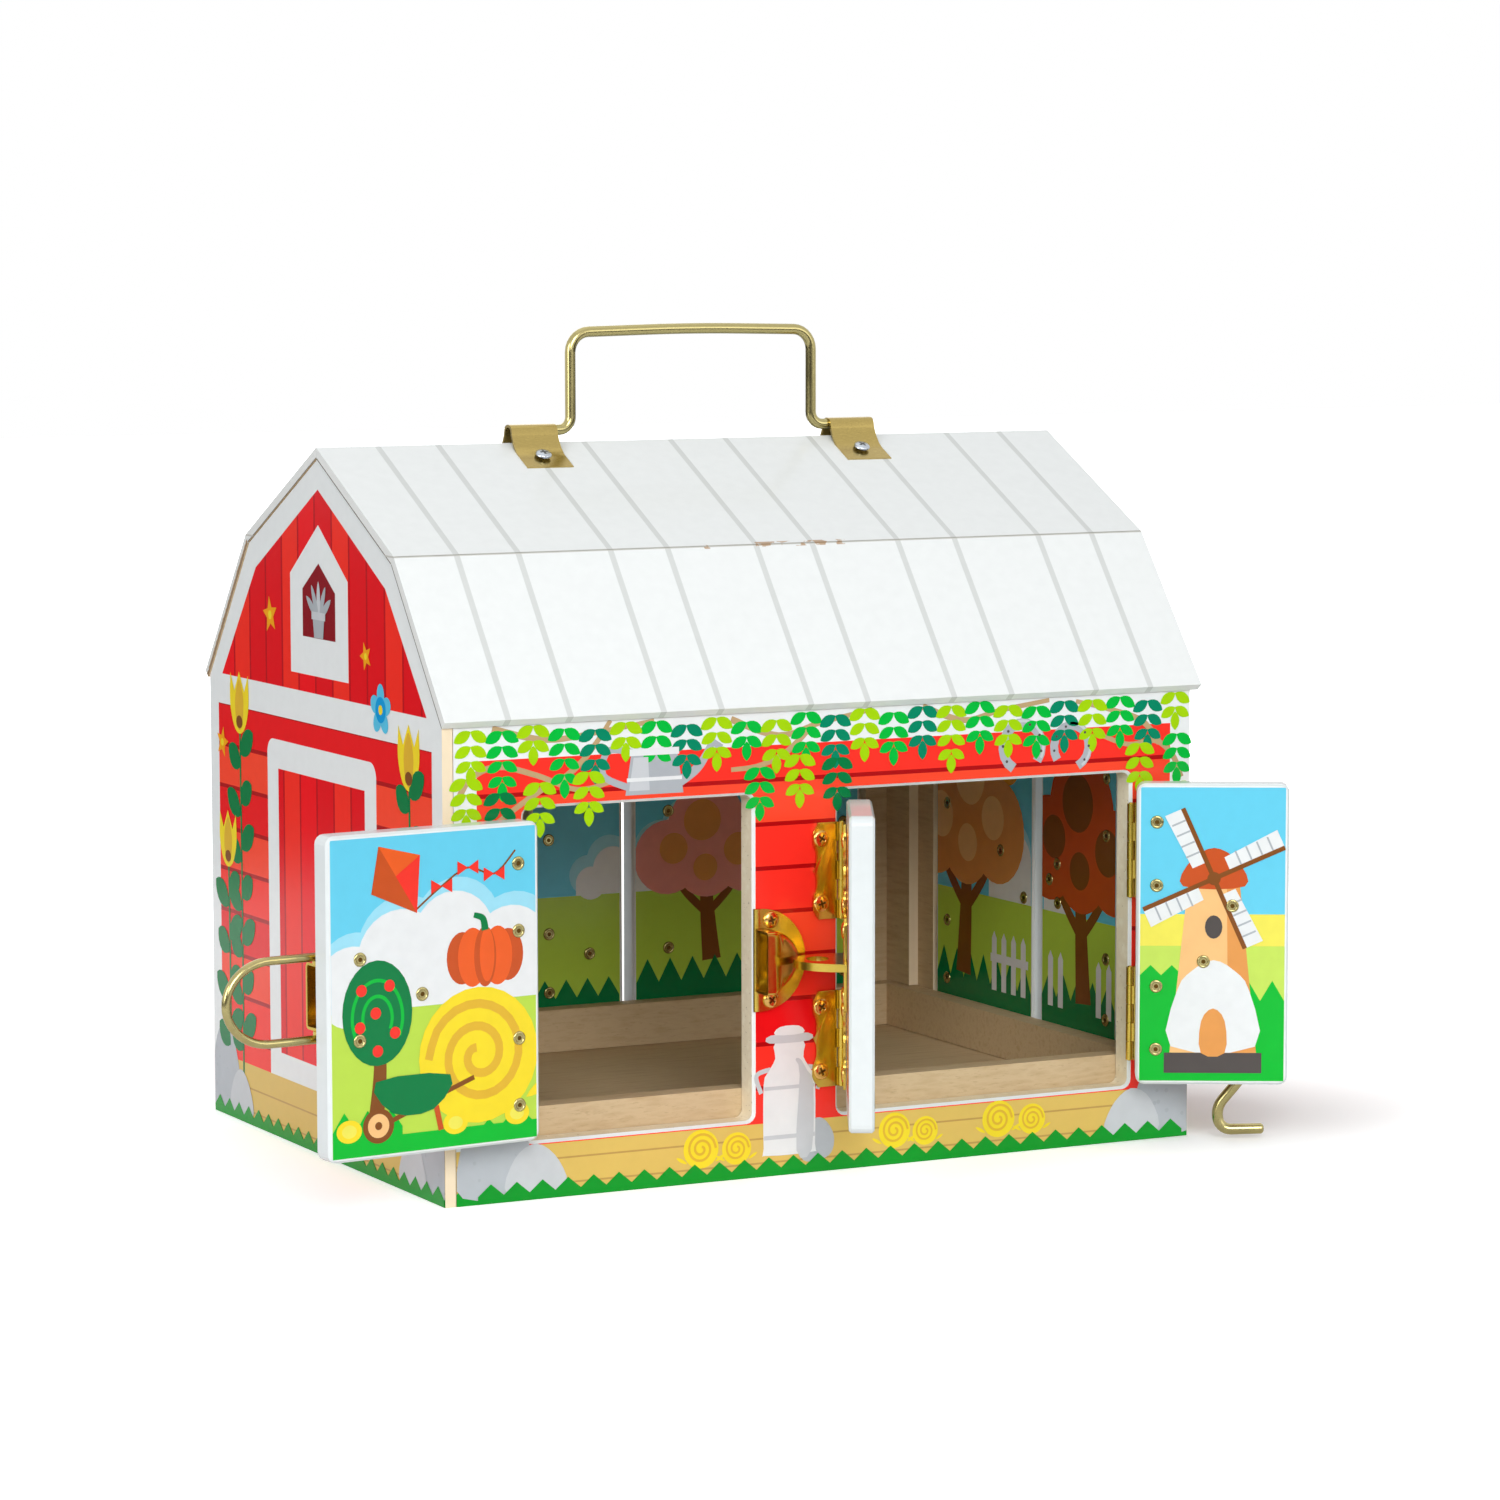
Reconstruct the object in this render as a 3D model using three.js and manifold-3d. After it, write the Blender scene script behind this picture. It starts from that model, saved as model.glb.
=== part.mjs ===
// Toy barn with opening doors: a wooden box barn with a gambrel roof, seven hinged door leaves,
// brass latches and a carrying handle.
// Millimetres, +Z up. The origin is the middle of the barn's footprint, on the ground.
// +X runs along the ridge and the front wall faces -Y. The front doors stand open.
import * as THREE from "three";
import { mergeVertices } from "three/addons/utils/BufferGeometryUtils.js";
import Module from "manifold-3d";

const wasm = await Module();
wasm.setup();

// Barn body
const barnLength = 320;
const barnWidth = 232.6;
const eaveHeight = 177.7;
const breakHalfWidth = 71.7;
const breakHeight = 233.9;
const apexHeight = 270;
const boardThick = 9.5;
const endBoardThick = 9;
const leftPanelThick = 4.2;
const glueGap = 0.3;
const cutOverrun = 2;

// Floor board, the rail round it, and the corner battens of the right end
const floorThick = 15;
const railThick = 9.2;
const railHeight = 17.7;
const battenThick = 4.4;
const battenWidth = 19.8;
const battenHeadroom = 6;

// Roof panels
const roofThick = 3.8;
const roofLeftOverhang = 0.5;
const roofRightOverhang = 3;
const eaveOverhang = 1;
const mitreGap = 0.3;

// Doorways: heights above the ground, and places along each wall
const sillHeight = 22;
const doorwayHeight = 124;
const endDoorwayHeight = 134;
const doorwayCorner = 3;
const edgeChamfer = 1.1;
const leftMargin = 32.6;
const postWidth = 36.4;
const rightMargin = 27.2;
const leftDoorwayShare = 0.42225;
const backRightMargin = 23.6;
const backDoorwayWidth = 161.7;
const endBackMargin = 43;
const endFrontMargin = 36.2;

// Door leaves
const hingeSideGap = 2.6;
const doorHeightGap = 5.8;
const doorCorner = 3.5;
const doorEdgeRound = 0.9;
const leftDoorGap = 3.7;
const pairDoorGap = 5.9;
const backSmallDoorWidth = 42.8;
const backDoorGap = 4.6;
const endBackDoorWidth = 81.7;
const endDoorGap = 6;

// How far each front leaf stands open, in degrees
const leftDoorAngle = 173.6;
const middleDoorAngle = 117.2;
const rightDoorAngle = 150.6;

// Butt hinges
const hingeHeight = 37;
const hingeLeafWidth = 12;
const hingeLeafThick = 0.9;
const knuckleRadius = 1.45;
const knuckleOut = 1.7;
const knuckleGap = 0.3;
const pinRadius = 0.7;
const pinPlay = 0.25;
const hingeCornerStep = 2.2;
const scallopDepth = 1;
const hingeScrewIn = 3.5;
const hingeScrewPitch = 24.8;
const hingeFromSill = 29.2;
const hingeFromHead = 30.4;
const axisInGap = 0.6;

// Pan-head screws
const screwHeadRadius = 2.9;
const screwHeadHeight = 0.8;

// Carrying handle and its two saddles
const handleSpan = 106.3;
const handleRise = 39.1;
const handleWireRadius = 2.1;
const handleFootOverRidge = 4.6;
const handleFootLength = 23;
const handleFootBend = 5;
const handleCornerBend = 8;
const saddleWidth = 19.7;
const saddleThick = 1.1;
const saddleReach = 18.4;
const saddlePlay = 0.35;
const saddleFromLeg = 7.2;
const saddleScrewDown = 13;

// Draw latch on the left front door, and its keeper on the post
const latchHeight = 83.2;
const latchPlateThick = 1;
const latchPlateHalf = 19.5;
const latchEdgeInset = 1.2;
const latchPlateLength = 44;
const latchScrewIn = 12;
const latchScrewHalf = 14.9;
const latchEndScrewIn = 37.6;
const hoodLength = 25;
const hoodHalf = 11.2;
const hoodRise = 9.4;
const hoodWall = 1.1;
const leverInset = 2;
const leverLift = 0.75;
const leverPinIn = 1.5;
const leverPinRise = 4.4;
const earThick = 1.4;
const earWall = 0.9;
const loopWireRadius = 1.6;
const loopHalf = 15;
const loopBowLength = 17.5;
const loopReach = 38.2;
const keeperLength = 21.7;
const keeperHalf = 19.6;
const keeperHoodLength = 17.5;
const keeperHoodHalf = 11;
const keeperHoodRise = 9.4;
const keeperScrewIn = 6.9;
const keeperScrewHalf = 15.2;

// Cabin hook on the right front door, and the eye plate on the middle door
const hookPivotIn = 33.5;
const hookPivotHeight = 75.5;
const hookOut = 10;
const hookWireRadius = 2.2;
const hookPlay = 0.4;
const hookPostRadius = 1.9;
const hookPostHead = 3.9;
const hookPostHeadThick = 1.3;
const hookBaseIn = 33.7;
const hookBaseHeight = 84.4;
const hookBaseTurn = 63;
const hookBaseLength = 36;
const hookBaseWidth = 14;
const hookBaseScrewHalf = 12.3;
const hookShortOfEye = 2.2;
const hookShankEndIn = 12.1;
const hookShankEndUp = 22.6;
const hookBulgeIn = 1.1;
const hookBulgeUp = 9.1;
const hookHeelIn = 2.5;
const hookTipIn = 20.1;
const hookTipUp = 0.6;
const hookBend = 9;
const eyePlateIn = 20.3;
const eyePlateHeight = 83.1;
const eyeTongueHalf = 15;
const eyeTongueReach = 20;
const eyeTongueThick = 3;
const eyeHoleIn = 6;
const eyeHoleOut = 4.2;
const eyeHoleFromDoor = 10.8;
const eyeBaseHalf = 18.2;
const eyeBaseWidth = 16;
const eyeBaseFromHinge = 12.8;

// Barrel bolt on the right end's doors
const boltHeight = 90.9;
const boltPlateIn = 4.7;
const boltPlateLength = 26;
const boltPlateHalf = 12.4;
const boltScrewHalf = 9.2;
const boltRise = 5.4;
const boltRadius = 2.5;
const boltPlay = 0.35;
const boltGuideLength = 4.6;
const boltGuideWall = 1.3;
const boltTipOut = 0.8;
const boltLength = 42;
const boltKnobRadius = 1.9;
const boltKnobRise = 8.5;
const boltKnobBack = 24.8;
const boltKeeperIn = 2.6;
const boltKeeperLength = 15;
const boltKeeperHalf = 11.6;
const boltStapleLength = 5.2;
const boltStaplePlay = 1.2;

// Hooks of the back doors and the studs they drop over
const backHookHighShare = 0.73;
const backHookLowShare = 0.26;
const backHookFromEdge = 15.6;
const backHookLength = 37;
const backHookWire = 1.3;
const backHookOut = 4.9;
const backStudRadius = 2;
const backStudHead = 3.6;
const backStudHeadThick = 1.1;
const backHookPlay = 0.4;
const backHookTipDrop = 7;

// Facets
const smallSides = 8;
const wireSides = 8;
const pinSides = 6;
const hoodSides = 12;
const boreSides = 16;
const bendSteps = 4;
const bowSteps = 12;
const ringSteps = 12;
const plateSteps = 2;
const bendLimitShare = 0.48;

// Finishes
const paint = (color) =>
  new THREE.MeshStandardMaterial({ color, roughness: 0.35 });
const redPaint = paint(0xe2231a);
const whitePaint = paint(0xf1f3f2);
const skyPaint = paint(0x6cd3ee);
const rawWood = new THREE.MeshStandardMaterial({ color: 0xd8bd92, roughness: 0.7 });
const brass = new THREE.MeshStandardMaterial({
  color: 0xd9a93a,
  roughness: 0.25,
  metalness: 1,
});

// Turns a three.js geometry into a closed solid.
function solid(geometry) {
  const bare = geometry.clone();
  bare.deleteAttribute("normal");
  bare.deleteAttribute("uv");
  const merged = mergeVertices(bare, 1e-4);
  return new wasm.Manifold(
    new wasm.Mesh({
      numProp: 3,
      vertProperties: merged.attributes.position.array,
      triVerts: new Uint32Array(merged.index.array),
    }),
  );
}

const fused = (pieces) => pieces.reduce((all, piece) => all.add(piece));
const cutBy = (body, cutters) =>
  cutters.reduce((left, cutter) => left.subtract(cutter), body);

// A named mesh from a solid.
function part(name, body, material) {
  const made = body.getMesh();
  const geometry = new THREE.BufferGeometry();
  geometry.setAttribute(
    "position",
    new THREE.BufferAttribute(made.vertProperties, 3),
  );
  geometry.setIndex(new THREE.BufferAttribute(made.triVerts, 1));
  const mesh = new THREE.Mesh(geometry.toNonIndexed(), material);
  mesh.geometry.computeVertexNormals();
  mesh.name = name;
  return mesh;
}

// A block between two corners.
function block(low, high) {
  const size = high.map((value, i) => value - low[i]);
  const middle = high.map((value, i) => (value + low[i]) / 2);
  return solid(new THREE.BoxGeometry(...size).translate(...middle));
}

// A shape drawn in (along X, up Z), grown towards -Y from the plane y = face.
function uprightPlate(shape, thick, face, curveSegments = plateSteps) {
  const plate = new THREE.ExtrudeGeometry(shape, {
    depth: thick,
    bevelEnabled: false,
    curveSegments,
  });
  return solid(plate.rotateX(Math.PI / 2).translate(0, face, 0));
}

// A shape drawn in (Y, Z), grown along +X from x = start.
function alongRidge(shape, start, length) {
  const turn = new THREE.Matrix4().makeBasis(
    new THREE.Vector3(0, 1, 0),
    new THREE.Vector3(0, 0, 1),
    new THREE.Vector3(1, 0, 0),
  );
  const bar = new THREE.ExtrudeGeometry(shape, {
    depth: length,
    bevelEnabled: false,
    curveSegments: 6,
  });
  return solid(bar.applyMatrix4(turn).translate(start, 0, 0));
}

const outline = (points) =>
  new THREE.Shape(points.map(([x, y]) => new THREE.Vector2(x, y)));

// A rounded rectangle between two corners, grown outwards by spread.
function roundedRect(left, bottom, right, top, radius, spread = 0) {
  const [l, b, r, t] = [left - spread, bottom - spread, right + spread, top + spread];
  const c = radius + spread;
  const quarter = Math.PI / 2;
  const shape = new THREE.Shape();
  shape.moveTo(l + c, b);
  shape.lineTo(r - c, b);
  shape.absarc(r - c, b + c, c, -quarter, 0);
  shape.lineTo(r, t - c);
  shape.absarc(r - c, t - c, c, 0, quarter);
  shape.lineTo(l + c, t);
  shape.absarc(l + c, t - c, c, quarter, 2 * quarter);
  shape.lineTo(l, b + c);
  shape.absarc(l + c, b + c, c, 2 * quarter, 3 * quarter);
  return shape;
}

// A post that points along -Y from y = face, at (x, z).
function post(x, z, radius, length, face, sides = smallSides) {
  const rod = new THREE.CylinderGeometry(radius, radius, length, sides);
  return solid(rod.translate(x, face - length / 2, z));
}

// A rod along Z between two heights.
function uprightRod(x, y, low, high, radius, sides = smallSides) {
  const rod = new THREE.CylinderGeometry(radius, radius, high - low, sides);
  return solid(rod.rotateX(Math.PI / 2).translate(x, y, (low + high) / 2));
}

// A rod along X between two places.
function levelRod(y, z, start, end, radius, sides = smallSides) {
  const rod = new THREE.CylinderGeometry(radius, radius, end - start, sides);
  return solid(rod.rotateZ(Math.PI / 2).translate((start + end) / 2, y, z));
}

// A route of points (x, z) along straight runs joined by bends.
function roundedRoute(points, bend) {
  const at = points.map((p) => new THREE.Vector2(...p));
  const route = [at[0]];
  for (let i = 1; i < at.length - 1; i++) {
    const back = at[i - 1].clone().sub(at[i]);
    const ahead = at[i + 1].clone().sub(at[i]);
    const reach = Math.min(
      bend,
      back.length() * bendLimitShare,
      ahead.length() * bendLimitShare,
    );
    const start = at[i].clone().add(back.setLength(reach));
    const end = at[i].clone().add(ahead.setLength(reach));
    const curve = new THREE.QuadraticBezierCurve(start, at[i], end);
    route.push(...curve.getPoints(bendSteps));
  }
  route.push(at[at.length - 1]);
  return route;
}

// A round wire in the plane y = level along a route of points (x, z), its ends cut square.
function flatWire(route, level, radius) {
  const headings = route.slice(1).map((p, i) => p.clone().sub(route[i]).normalize());
  const vertices = [];
  route.forEach((p, i) => {
    const before = headings[Math.max(i - 1, 0)];
    const after = headings[Math.min(i, headings.length - 1)];
    const heading = before.clone().add(after).normalize();
    const mitre = radius / heading.dot(after);
    for (let k = 0; k < wireSides; k++) {
      const angle = (2 * Math.PI * k) / wireSides;
      const across = mitre * Math.cos(angle);
      vertices.push(
        p.x + across * heading.y,
        level + radius * Math.sin(angle),
        p.y - across * heading.x,
      );
    }
  });
  const faces = [];
  for (let i = 0; i + 1 < route.length; i++)
    for (let k = 0; k < wireSides; k++) {
      const a = i * wireSides + k;
      const b = i * wireSides + ((k + 1) % wireSides);
      faces.push(a, b, a + wireSides, b, b + wireSides, a + wireSides);
    }
  const last = (route.length - 1) * wireSides;
  for (let k = 1; k + 1 < wireSides; k++)
    faces.push(0, k + 1, k, last, last + k, last + k + 1);
  const tube = new THREE.BufferGeometry();
  tube.setAttribute("position", new THREE.Float32BufferAttribute(vertices, 3));
  tube.setIndex(faces);
  return solid(tube);
}

// The pan head of a screw on the plane y = face.
const screwHead = (x, z, face, sides = smallSides) =>
  post(x, z, screwHeadRadius, screwHeadHeight + glueGap, face + glueGap, sides);

// Levels and faces of the body
const halfLength = barnLength / 2;
const halfWidth = barnWidth / 2;
const lowerSlope = new THREE.Vector2(
  halfWidth - breakHalfWidth,
  eaveHeight - breakHeight,
).normalize();
const upperSlope = new THREE.Vector2(
  breakHalfWidth,
  breakHeight - apexHeight,
).normalize();
const outwards = (slope) => new THREE.Vector2(-slope.y, slope.x);
const wallTop = (inset) => eaveHeight - (inset * lowerSlope.y) / lowerSlope.x;
const railTop = floorThick + glueGap + railHeight;

// The doorway cutter: straight through, and flared at the outer face by a chamfer.
function doorwayCutter(left, bottom, right, top, face) {
  const shape = roundedRect(left, bottom, right, top, doorwayCorner);
  const depth = boardThick + 2 * cutOverrun;
  const through = uprightPlate(shape, depth, face + depth - cutOverrun);
  const flare = new THREE.ExtrudeGeometry(shape, {
    depth: glueGap,
    bevelThickness: edgeChamfer,
    bevelSize: edgeChamfer,
    bevelSegments: 1,
    curveSegments: 2,
  });
  const flared = solid(flare.rotateX(Math.PI / 2).translate(0, face, 0));
  return through.add(flared);
}

// A long wall whose top follows the lower roof slope, drawn with its outer face at y = -halfWidth.
function longWall(start, end, doorways) {
  const section = outline([
    [-halfWidth, 0],
    [-halfWidth + boardThick, 0],
    [-halfWidth + boardThick, wallTop(boardThick)],
    [-halfWidth, eaveHeight],
  ]);
  const board = alongRidge(section, start, end - start);
  const head = sillHeight + doorwayHeight;
  const cutters = doorways.map(([left, right]) =>
    doorwayCutter(left, sillHeight, right, head, -halfWidth),
  );
  return cutBy(board, cutters);
}

// The gable outline, with its sides at y = -half and y = +half.
function gableOutline(half) {
  const shoulder = wallTop(halfWidth - half);
  return outline([
    [-half, 0],
    [half, 0],
    [half, shoulder],
    [breakHalfWidth, breakHeight],
    [0, apexHeight],
    [-breakHalfWidth, breakHeight],
    [-half, shoulder],
  ]);
}

// Doorways of the front wall
const freeLength = barnLength - leftMargin - postWidth - rightMargin;
const leftDoorwayWidth = freeLength * leftDoorwayShare;
const leftDoorwayLeft = -halfLength + leftMargin;
const leftDoorwayRight = leftDoorwayLeft + leftDoorwayWidth;
const rightDoorwayLeft = leftDoorwayRight + postWidth;
const rightDoorwayRight = halfLength - rightMargin;
const backDoorwayRight = halfLength - backRightMargin;
const backDoorwayLeft = backDoorwayRight - backDoorwayWidth;
const endDoorwayBack = halfWidth - endBackMargin;
const endDoorwayFront = -halfWidth + endFrontMargin;
const endDoorwayWidth = endDoorwayBack - endDoorwayFront;
const wallStart = -halfLength + leftPanelThick + glueGap;
const innerHalfWidth = halfWidth - boardThick - glueGap;
const innerRight = halfLength - endBoardThick;

const barn = new THREE.Group();
barn.name = "toy_barn";

// Walls
barn.add(
  part(
    "left_gable_wall",
    alongRidge(gableOutline(halfWidth), -halfLength, leftPanelThick),
    redPaint,
  ),
  part(
    "front_wall",
    longWall(wallStart, halfLength, [
      [leftDoorwayLeft, leftDoorwayRight],
      [rightDoorwayLeft, rightDoorwayRight],
    ]),
    redPaint,
  ),
);

const backWallGroup = new THREE.Group();
backWallGroup.rotation.z = Math.PI;
backWallGroup.add(
  part(
    "back_wall",
    longWall(-halfLength, -wallStart, [[-backDoorwayRight, -backDoorwayLeft]]),
    redPaint,
  ),
);
barn.add(backWallGroup);

// The right end wall, with two battens glued into its corners
function rightEndWall() {
  const board = alongRidge(gableOutline(innerHalfWidth), innerRight, endBoardThick);
  const battenTop = wallTop(boardThick + battenWidth) - battenHeadroom;
  const battens = [-1, 1].map((side) => {
    const ends = [side * innerHalfWidth, side * (innerHalfWidth - battenWidth)];
    return block(
      [innerRight - battenThick, Math.min(...ends), railTop + glueGap],
      [innerRight, Math.max(...ends), Math.min(battenTop, wallTop(boardThick))],
    );
  });
  const turned = doorwayCutter(
    endDoorwayFront,
    sillHeight,
    endDoorwayBack,
    sillHeight + endDoorwayHeight,
    -halfLength,
  ).rotate([0, 0, 90]);
  return fused([board, ...battens]).subtract(turned);
}
barn.add(part("right_gable_wall", rightEndWall(), redPaint));

// Floor board and the rail frame on it
barn.add(
  part(
    "floor_panel",
    block(
      [wallStart, -innerHalfWidth, 0],
      [innerRight - glueGap, innerHalfWidth, floorThick],
    ),
    rawWood,
  ),
);

function railFrame() {
  const low = floorThick + glueGap;
  const right = innerRight - glueGap;
  const outer = block([wallStart, -innerHalfWidth, low], [right, innerHalfWidth, railTop]);
  const inner = block(
    [wallStart + railThick, -innerHalfWidth + railThick, low - cutOverrun],
    [right - railThick, innerHalfWidth - railThick, railTop + cutOverrun],
  );
  return outer.subtract(inner);
}
barn.add(part("floor_rails", railFrame(), rawWood));

// Roof: two panels a side, mitred at the ridge and at the break
const lowerOut = outwards(lowerSlope);
const upperOut = outwards(upperSlope);
const breakPoint = new THREE.Vector2(breakHalfWidth, breakHeight);
const apexPoint = new THREE.Vector2(0, apexHeight);
const eavePoint = new THREE.Vector2(halfWidth, eaveHeight);

// Where the upper and lower faces of the roof meet, at a distance out from the walls.
function foldAt(out) {
  const bisector = lowerOut.clone().add(upperOut).normalize();
  return breakPoint.clone().addScaledVector(bisector, out / bisector.dot(lowerOut));
}
const ridgeAt = (out) => new THREE.Vector2(0, apexPoint.y + out / upperOut.y);
const roofIn = glueGap;
const roofOut = glueGap + roofThick;

function upperPanelOutline() {
  const gapAlong = mitreGap / 2;
  const sideStep = upperSlope.clone().multiplyScalar(gapAlong / upperSlope.x);
  return [
    ridgeAt(roofIn).add(sideStep),
    foldAt(roofIn).addScaledVector(upperSlope, -gapAlong),
    foldAt(roofOut).addScaledVector(upperSlope, -gapAlong),
    ridgeAt(roofOut).add(sideStep),
  ];
}

function lowerPanelOutline() {
  const gapAlong = mitreGap / 2;
  const eave = (out) =>
    eavePoint
      .clone()
      .addScaledVector(lowerSlope, eaveOverhang)
      .addScaledVector(lowerOut, out);
  return [
    foldAt(roofIn).addScaledVector(lowerSlope, gapAlong),
    eave(roofIn),
    eave(roofOut),
    foldAt(roofOut).addScaledVector(lowerSlope, gapAlong),
  ];
}

const roofStart = -halfLength - roofLeftOverhang;
const roofLength = barnLength + roofLeftOverhang + roofRightOverhang;
for (const [sideName, side] of [
  ["front", -1],
  ["back", 1],
]) {
  for (const [levelName, points] of [
    ["upper", upperPanelOutline()],
    ["lower", lowerPanelOutline()],
  ]) {
    const placed = points.map((p) => [side * p.x, p.y]);
    const section = outline(side > 0 ? placed : placed.reverse());
    const panel = alongRidge(section, roofStart, roofLength);
    barn.add(part(`roof_${levelName}_${sideName}`, panel, whitePaint));
  }
}

const handleFootHeight = ridgeAt(roofOut).y + handleFootOverRidge;
const handleTop = handleFootHeight + handleRise;

// Handle: a bail of brass wire whose feet turn in two saddles bent over the ridge
function handleWire() {
  const leg = handleSpan / 2;
  const foot = leg + handleFootLength;
  const low = handleFootHeight;
  const feet = [-1, 1].map((side) => [
    [side * foot, low],
    [side * leg, low],
    [side * leg, (low + handleTop) / 2],
  ]);
  const corners = [
    [-leg, (low + handleTop) / 2],
    [-leg, handleTop],
    [leg, handleTop],
    [leg, (low + handleTop) / 2],
  ];
  const route = [
    ...roundedRoute(feet[0], handleFootBend).slice(0, -1),
    ...roundedRoute(corners, handleCornerBend).slice(1, -1),
    ...roundedRoute(feet[1], handleFootBend).reverse().slice(1),
  ];
  return flatWire(route, 0, handleWireRadius);
}
barn.add(part("carry_handle", handleWire(), brass));

// The saddle's section: a plate down each slope and a hump over the wire.
function saddleOutline() {
  const inner = handleWireRadius + saddlePlay;
  const outer = inner + saddleThick;
  const slopeAt = (out, y) => ridgeAt(roofOut + out).y + (y * upperSlope.y) / upperSlope.x;
  const shape = new THREE.Shape();
  const low = glueGap;
  const high = glueGap + saddleThick;
  shape.moveTo(saddleReach, slopeAt(low, saddleReach));
  shape.lineTo(saddleReach, slopeAt(high, saddleReach));
  shape.lineTo(outer, slopeAt(high, outer));
  shape.lineTo(outer, handleFootHeight);
  shape.absarc(0, handleFootHeight, outer, 0, Math.PI);
  shape.lineTo(-outer, slopeAt(high, outer));
  shape.lineTo(-saddleReach, slopeAt(high, saddleReach));
  shape.lineTo(-saddleReach, slopeAt(low, saddleReach));
  shape.lineTo(-inner, slopeAt(low, inner));
  shape.lineTo(-inner, handleFootHeight);
  shape.absarc(0, handleFootHeight, inner, Math.PI, 0, true);
  shape.lineTo(inner, slopeAt(low, inner));
  return shape;
}

// The two screws of a saddle stand square to the roof slopes.
function saddleScrews(middle) {
  const tilt = Math.atan2(-upperSlope.y, upperSlope.x);
  return [-1, 1].map((side) => {
    const along = saddleScrewDown / upperSlope.x;
    const foot = ridgeAt(roofOut + glueGap + saddleThick / 2);
    const at = foot.addScaledVector(upperSlope, along);
    const height = saddleThick / 2 + screwHeadHeight;
    const head = new THREE.CylinderGeometry(
      screwHeadRadius,
      screwHeadRadius,
      height,
      smallSides,
    );
    head.translate(0, height / 2, 0);
    head.rotateX(Math.PI / 2 + side * -tilt);
    return solid(head.translate(middle, side * at.x, at.y));
  });
}

for (const [name, side] of [
  ["handle_saddle_left", -1],
  ["handle_saddle_right", 1],
]) {
  const near = handleSpan / 2 + saddleFromLeg;
  const middle = side * (near + saddleWidth / 2);
  const strap = alongRidge(saddleOutline(), middle - saddleWidth / 2, saddleWidth);
  barn.add(part(name, fused([strap, ...saddleScrews(middle)]), brass));
}

// A hinged leaf lives in a frame whose origin is the knuckle axis: the closed leaf runs along +X,
// its outer face is the plane y = knuckleOut and outwards is -Y.
const outerFace = knuckleOut;
const faceOut = (out) => outerFace - out;
const leafStart = hingeSideGap - axisInGap;

function hingeFrame(x, y, turn, mirrored) {
  const frame = new THREE.Group();
  frame.position.set(x, y, 0);
  frame.rotation.z = turn;
  frame.scale.x = mirrored ? -1 : 1;
  barn.add(frame);
  return frame;
}

// The plate of a hinge leaf: stepped corners, and two scallops along the free edge.
function hingePlateOutline() {
  const half = hingeHeight / 2;
  const near = knuckleRadius + knuckleGap;
  const far = hingeLeafWidth;
  const step = hingeCornerStep;
  const bottom = -half + 2 * step;
  const top = half - 2 * step;
  const shape = new THREE.Shape();
  shape.moveTo(near, -half);
  shape.lineTo(far - step, -half);
  shape.quadraticCurveTo(far - step, bottom - step / 2, far, bottom - step / 2);
  shape.lineTo(far, bottom + step);
  const scallops = [
    [bottom + step, 0],
    [0, top - step],
  ];
  for (const [from, to] of scallops)
    shape.quadraticCurveTo(far - 2 * scallopDepth, (from + to) / 2, far, to);
  shape.lineTo(far, top + step / 2);
  shape.quadraticCurveTo(far - step, top + step / 2, far - step, half);
  shape.lineTo(near, half);
  return shape;
}

const knuckleCount = 5;

// The knuckles that one leaf owns, as height ranges about the hinge's middle.
function knuckleRanges(first) {
  const pitch = hingeHeight / knuckleCount;
  const ranges = [];
  for (let i = first; i < knuckleCount; i += 2) {
    const low = -hingeHeight / 2 + i * pitch;
    ranges.push([low + knuckleGap / 2, low + pitch - knuckleGap / 2]);
  }
  return ranges;
}

// A knuckle rolled from the leaf's own plate, between two heights.
function rolledKnuckle(low, high) {
  const face = faceOut(glueGap);
  const inner = Math.asin(face / knuckleRadius);
  const outer = 2 * Math.PI + Math.asin((face - hingeLeafThick) / knuckleRadius);
  const reach = knuckleRadius + 2 * knuckleGap;
  const shape = new THREE.Shape();
  shape.moveTo(reach, face);
  shape.absarc(0, 0, knuckleRadius, inner, outer);
  shape.lineTo(reach, face - hingeLeafThick);
  const barrel = new THREE.ExtrudeGeometry(shape, {
    depth: high - low,
    bevelEnabled: false,
    curveSegments: smallSides / 2,
  });
  return solid(barrel.translate(0, 0, low));
}

// One leaf of a butt hinge, with its knuckles and screws. The wall leaf holds the pin.
function hingeLeaf(name, height, onWall) {
  const face = faceOut(glueGap);
  const plate = new THREE.ExtrudeGeometry(hingePlateOutline(), {
    depth: hingeLeafThick,
    bevelEnabled: false,
    curveSegments: 2,
  });
  const pieces = [solid(plate.rotateX(Math.PI / 2).translate(0, face, 0))];
  for (const [low, high] of knuckleRanges(onWall ? 0 : 1))
    pieces.push(rolledKnuckle(low, high));
  const screwAt = hingeLeafWidth - hingeScrewIn;
  const screwFace = face - hingeLeafThick;
  for (const side of [-1, 1])
    pieces.push(screwHead(screwAt, (side * hingeScrewPitch) / 2, screwFace, pinSides));
  const half = hingeHeight / 2;
  const pin = uprightRod(0, 0, -half, half, pinRadius, pinSides);
  const bore = uprightRod(0, 0, -half, half, pinRadius + pinPlay, pinSides);
  const body = fused(pieces);
  const mesh = part(name, onWall ? body.add(pin) : body.subtract(bore), brass);
  mesh.position.z = height;
  if (onWall) mesh.scale.x = -1;
  return mesh;
}

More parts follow.
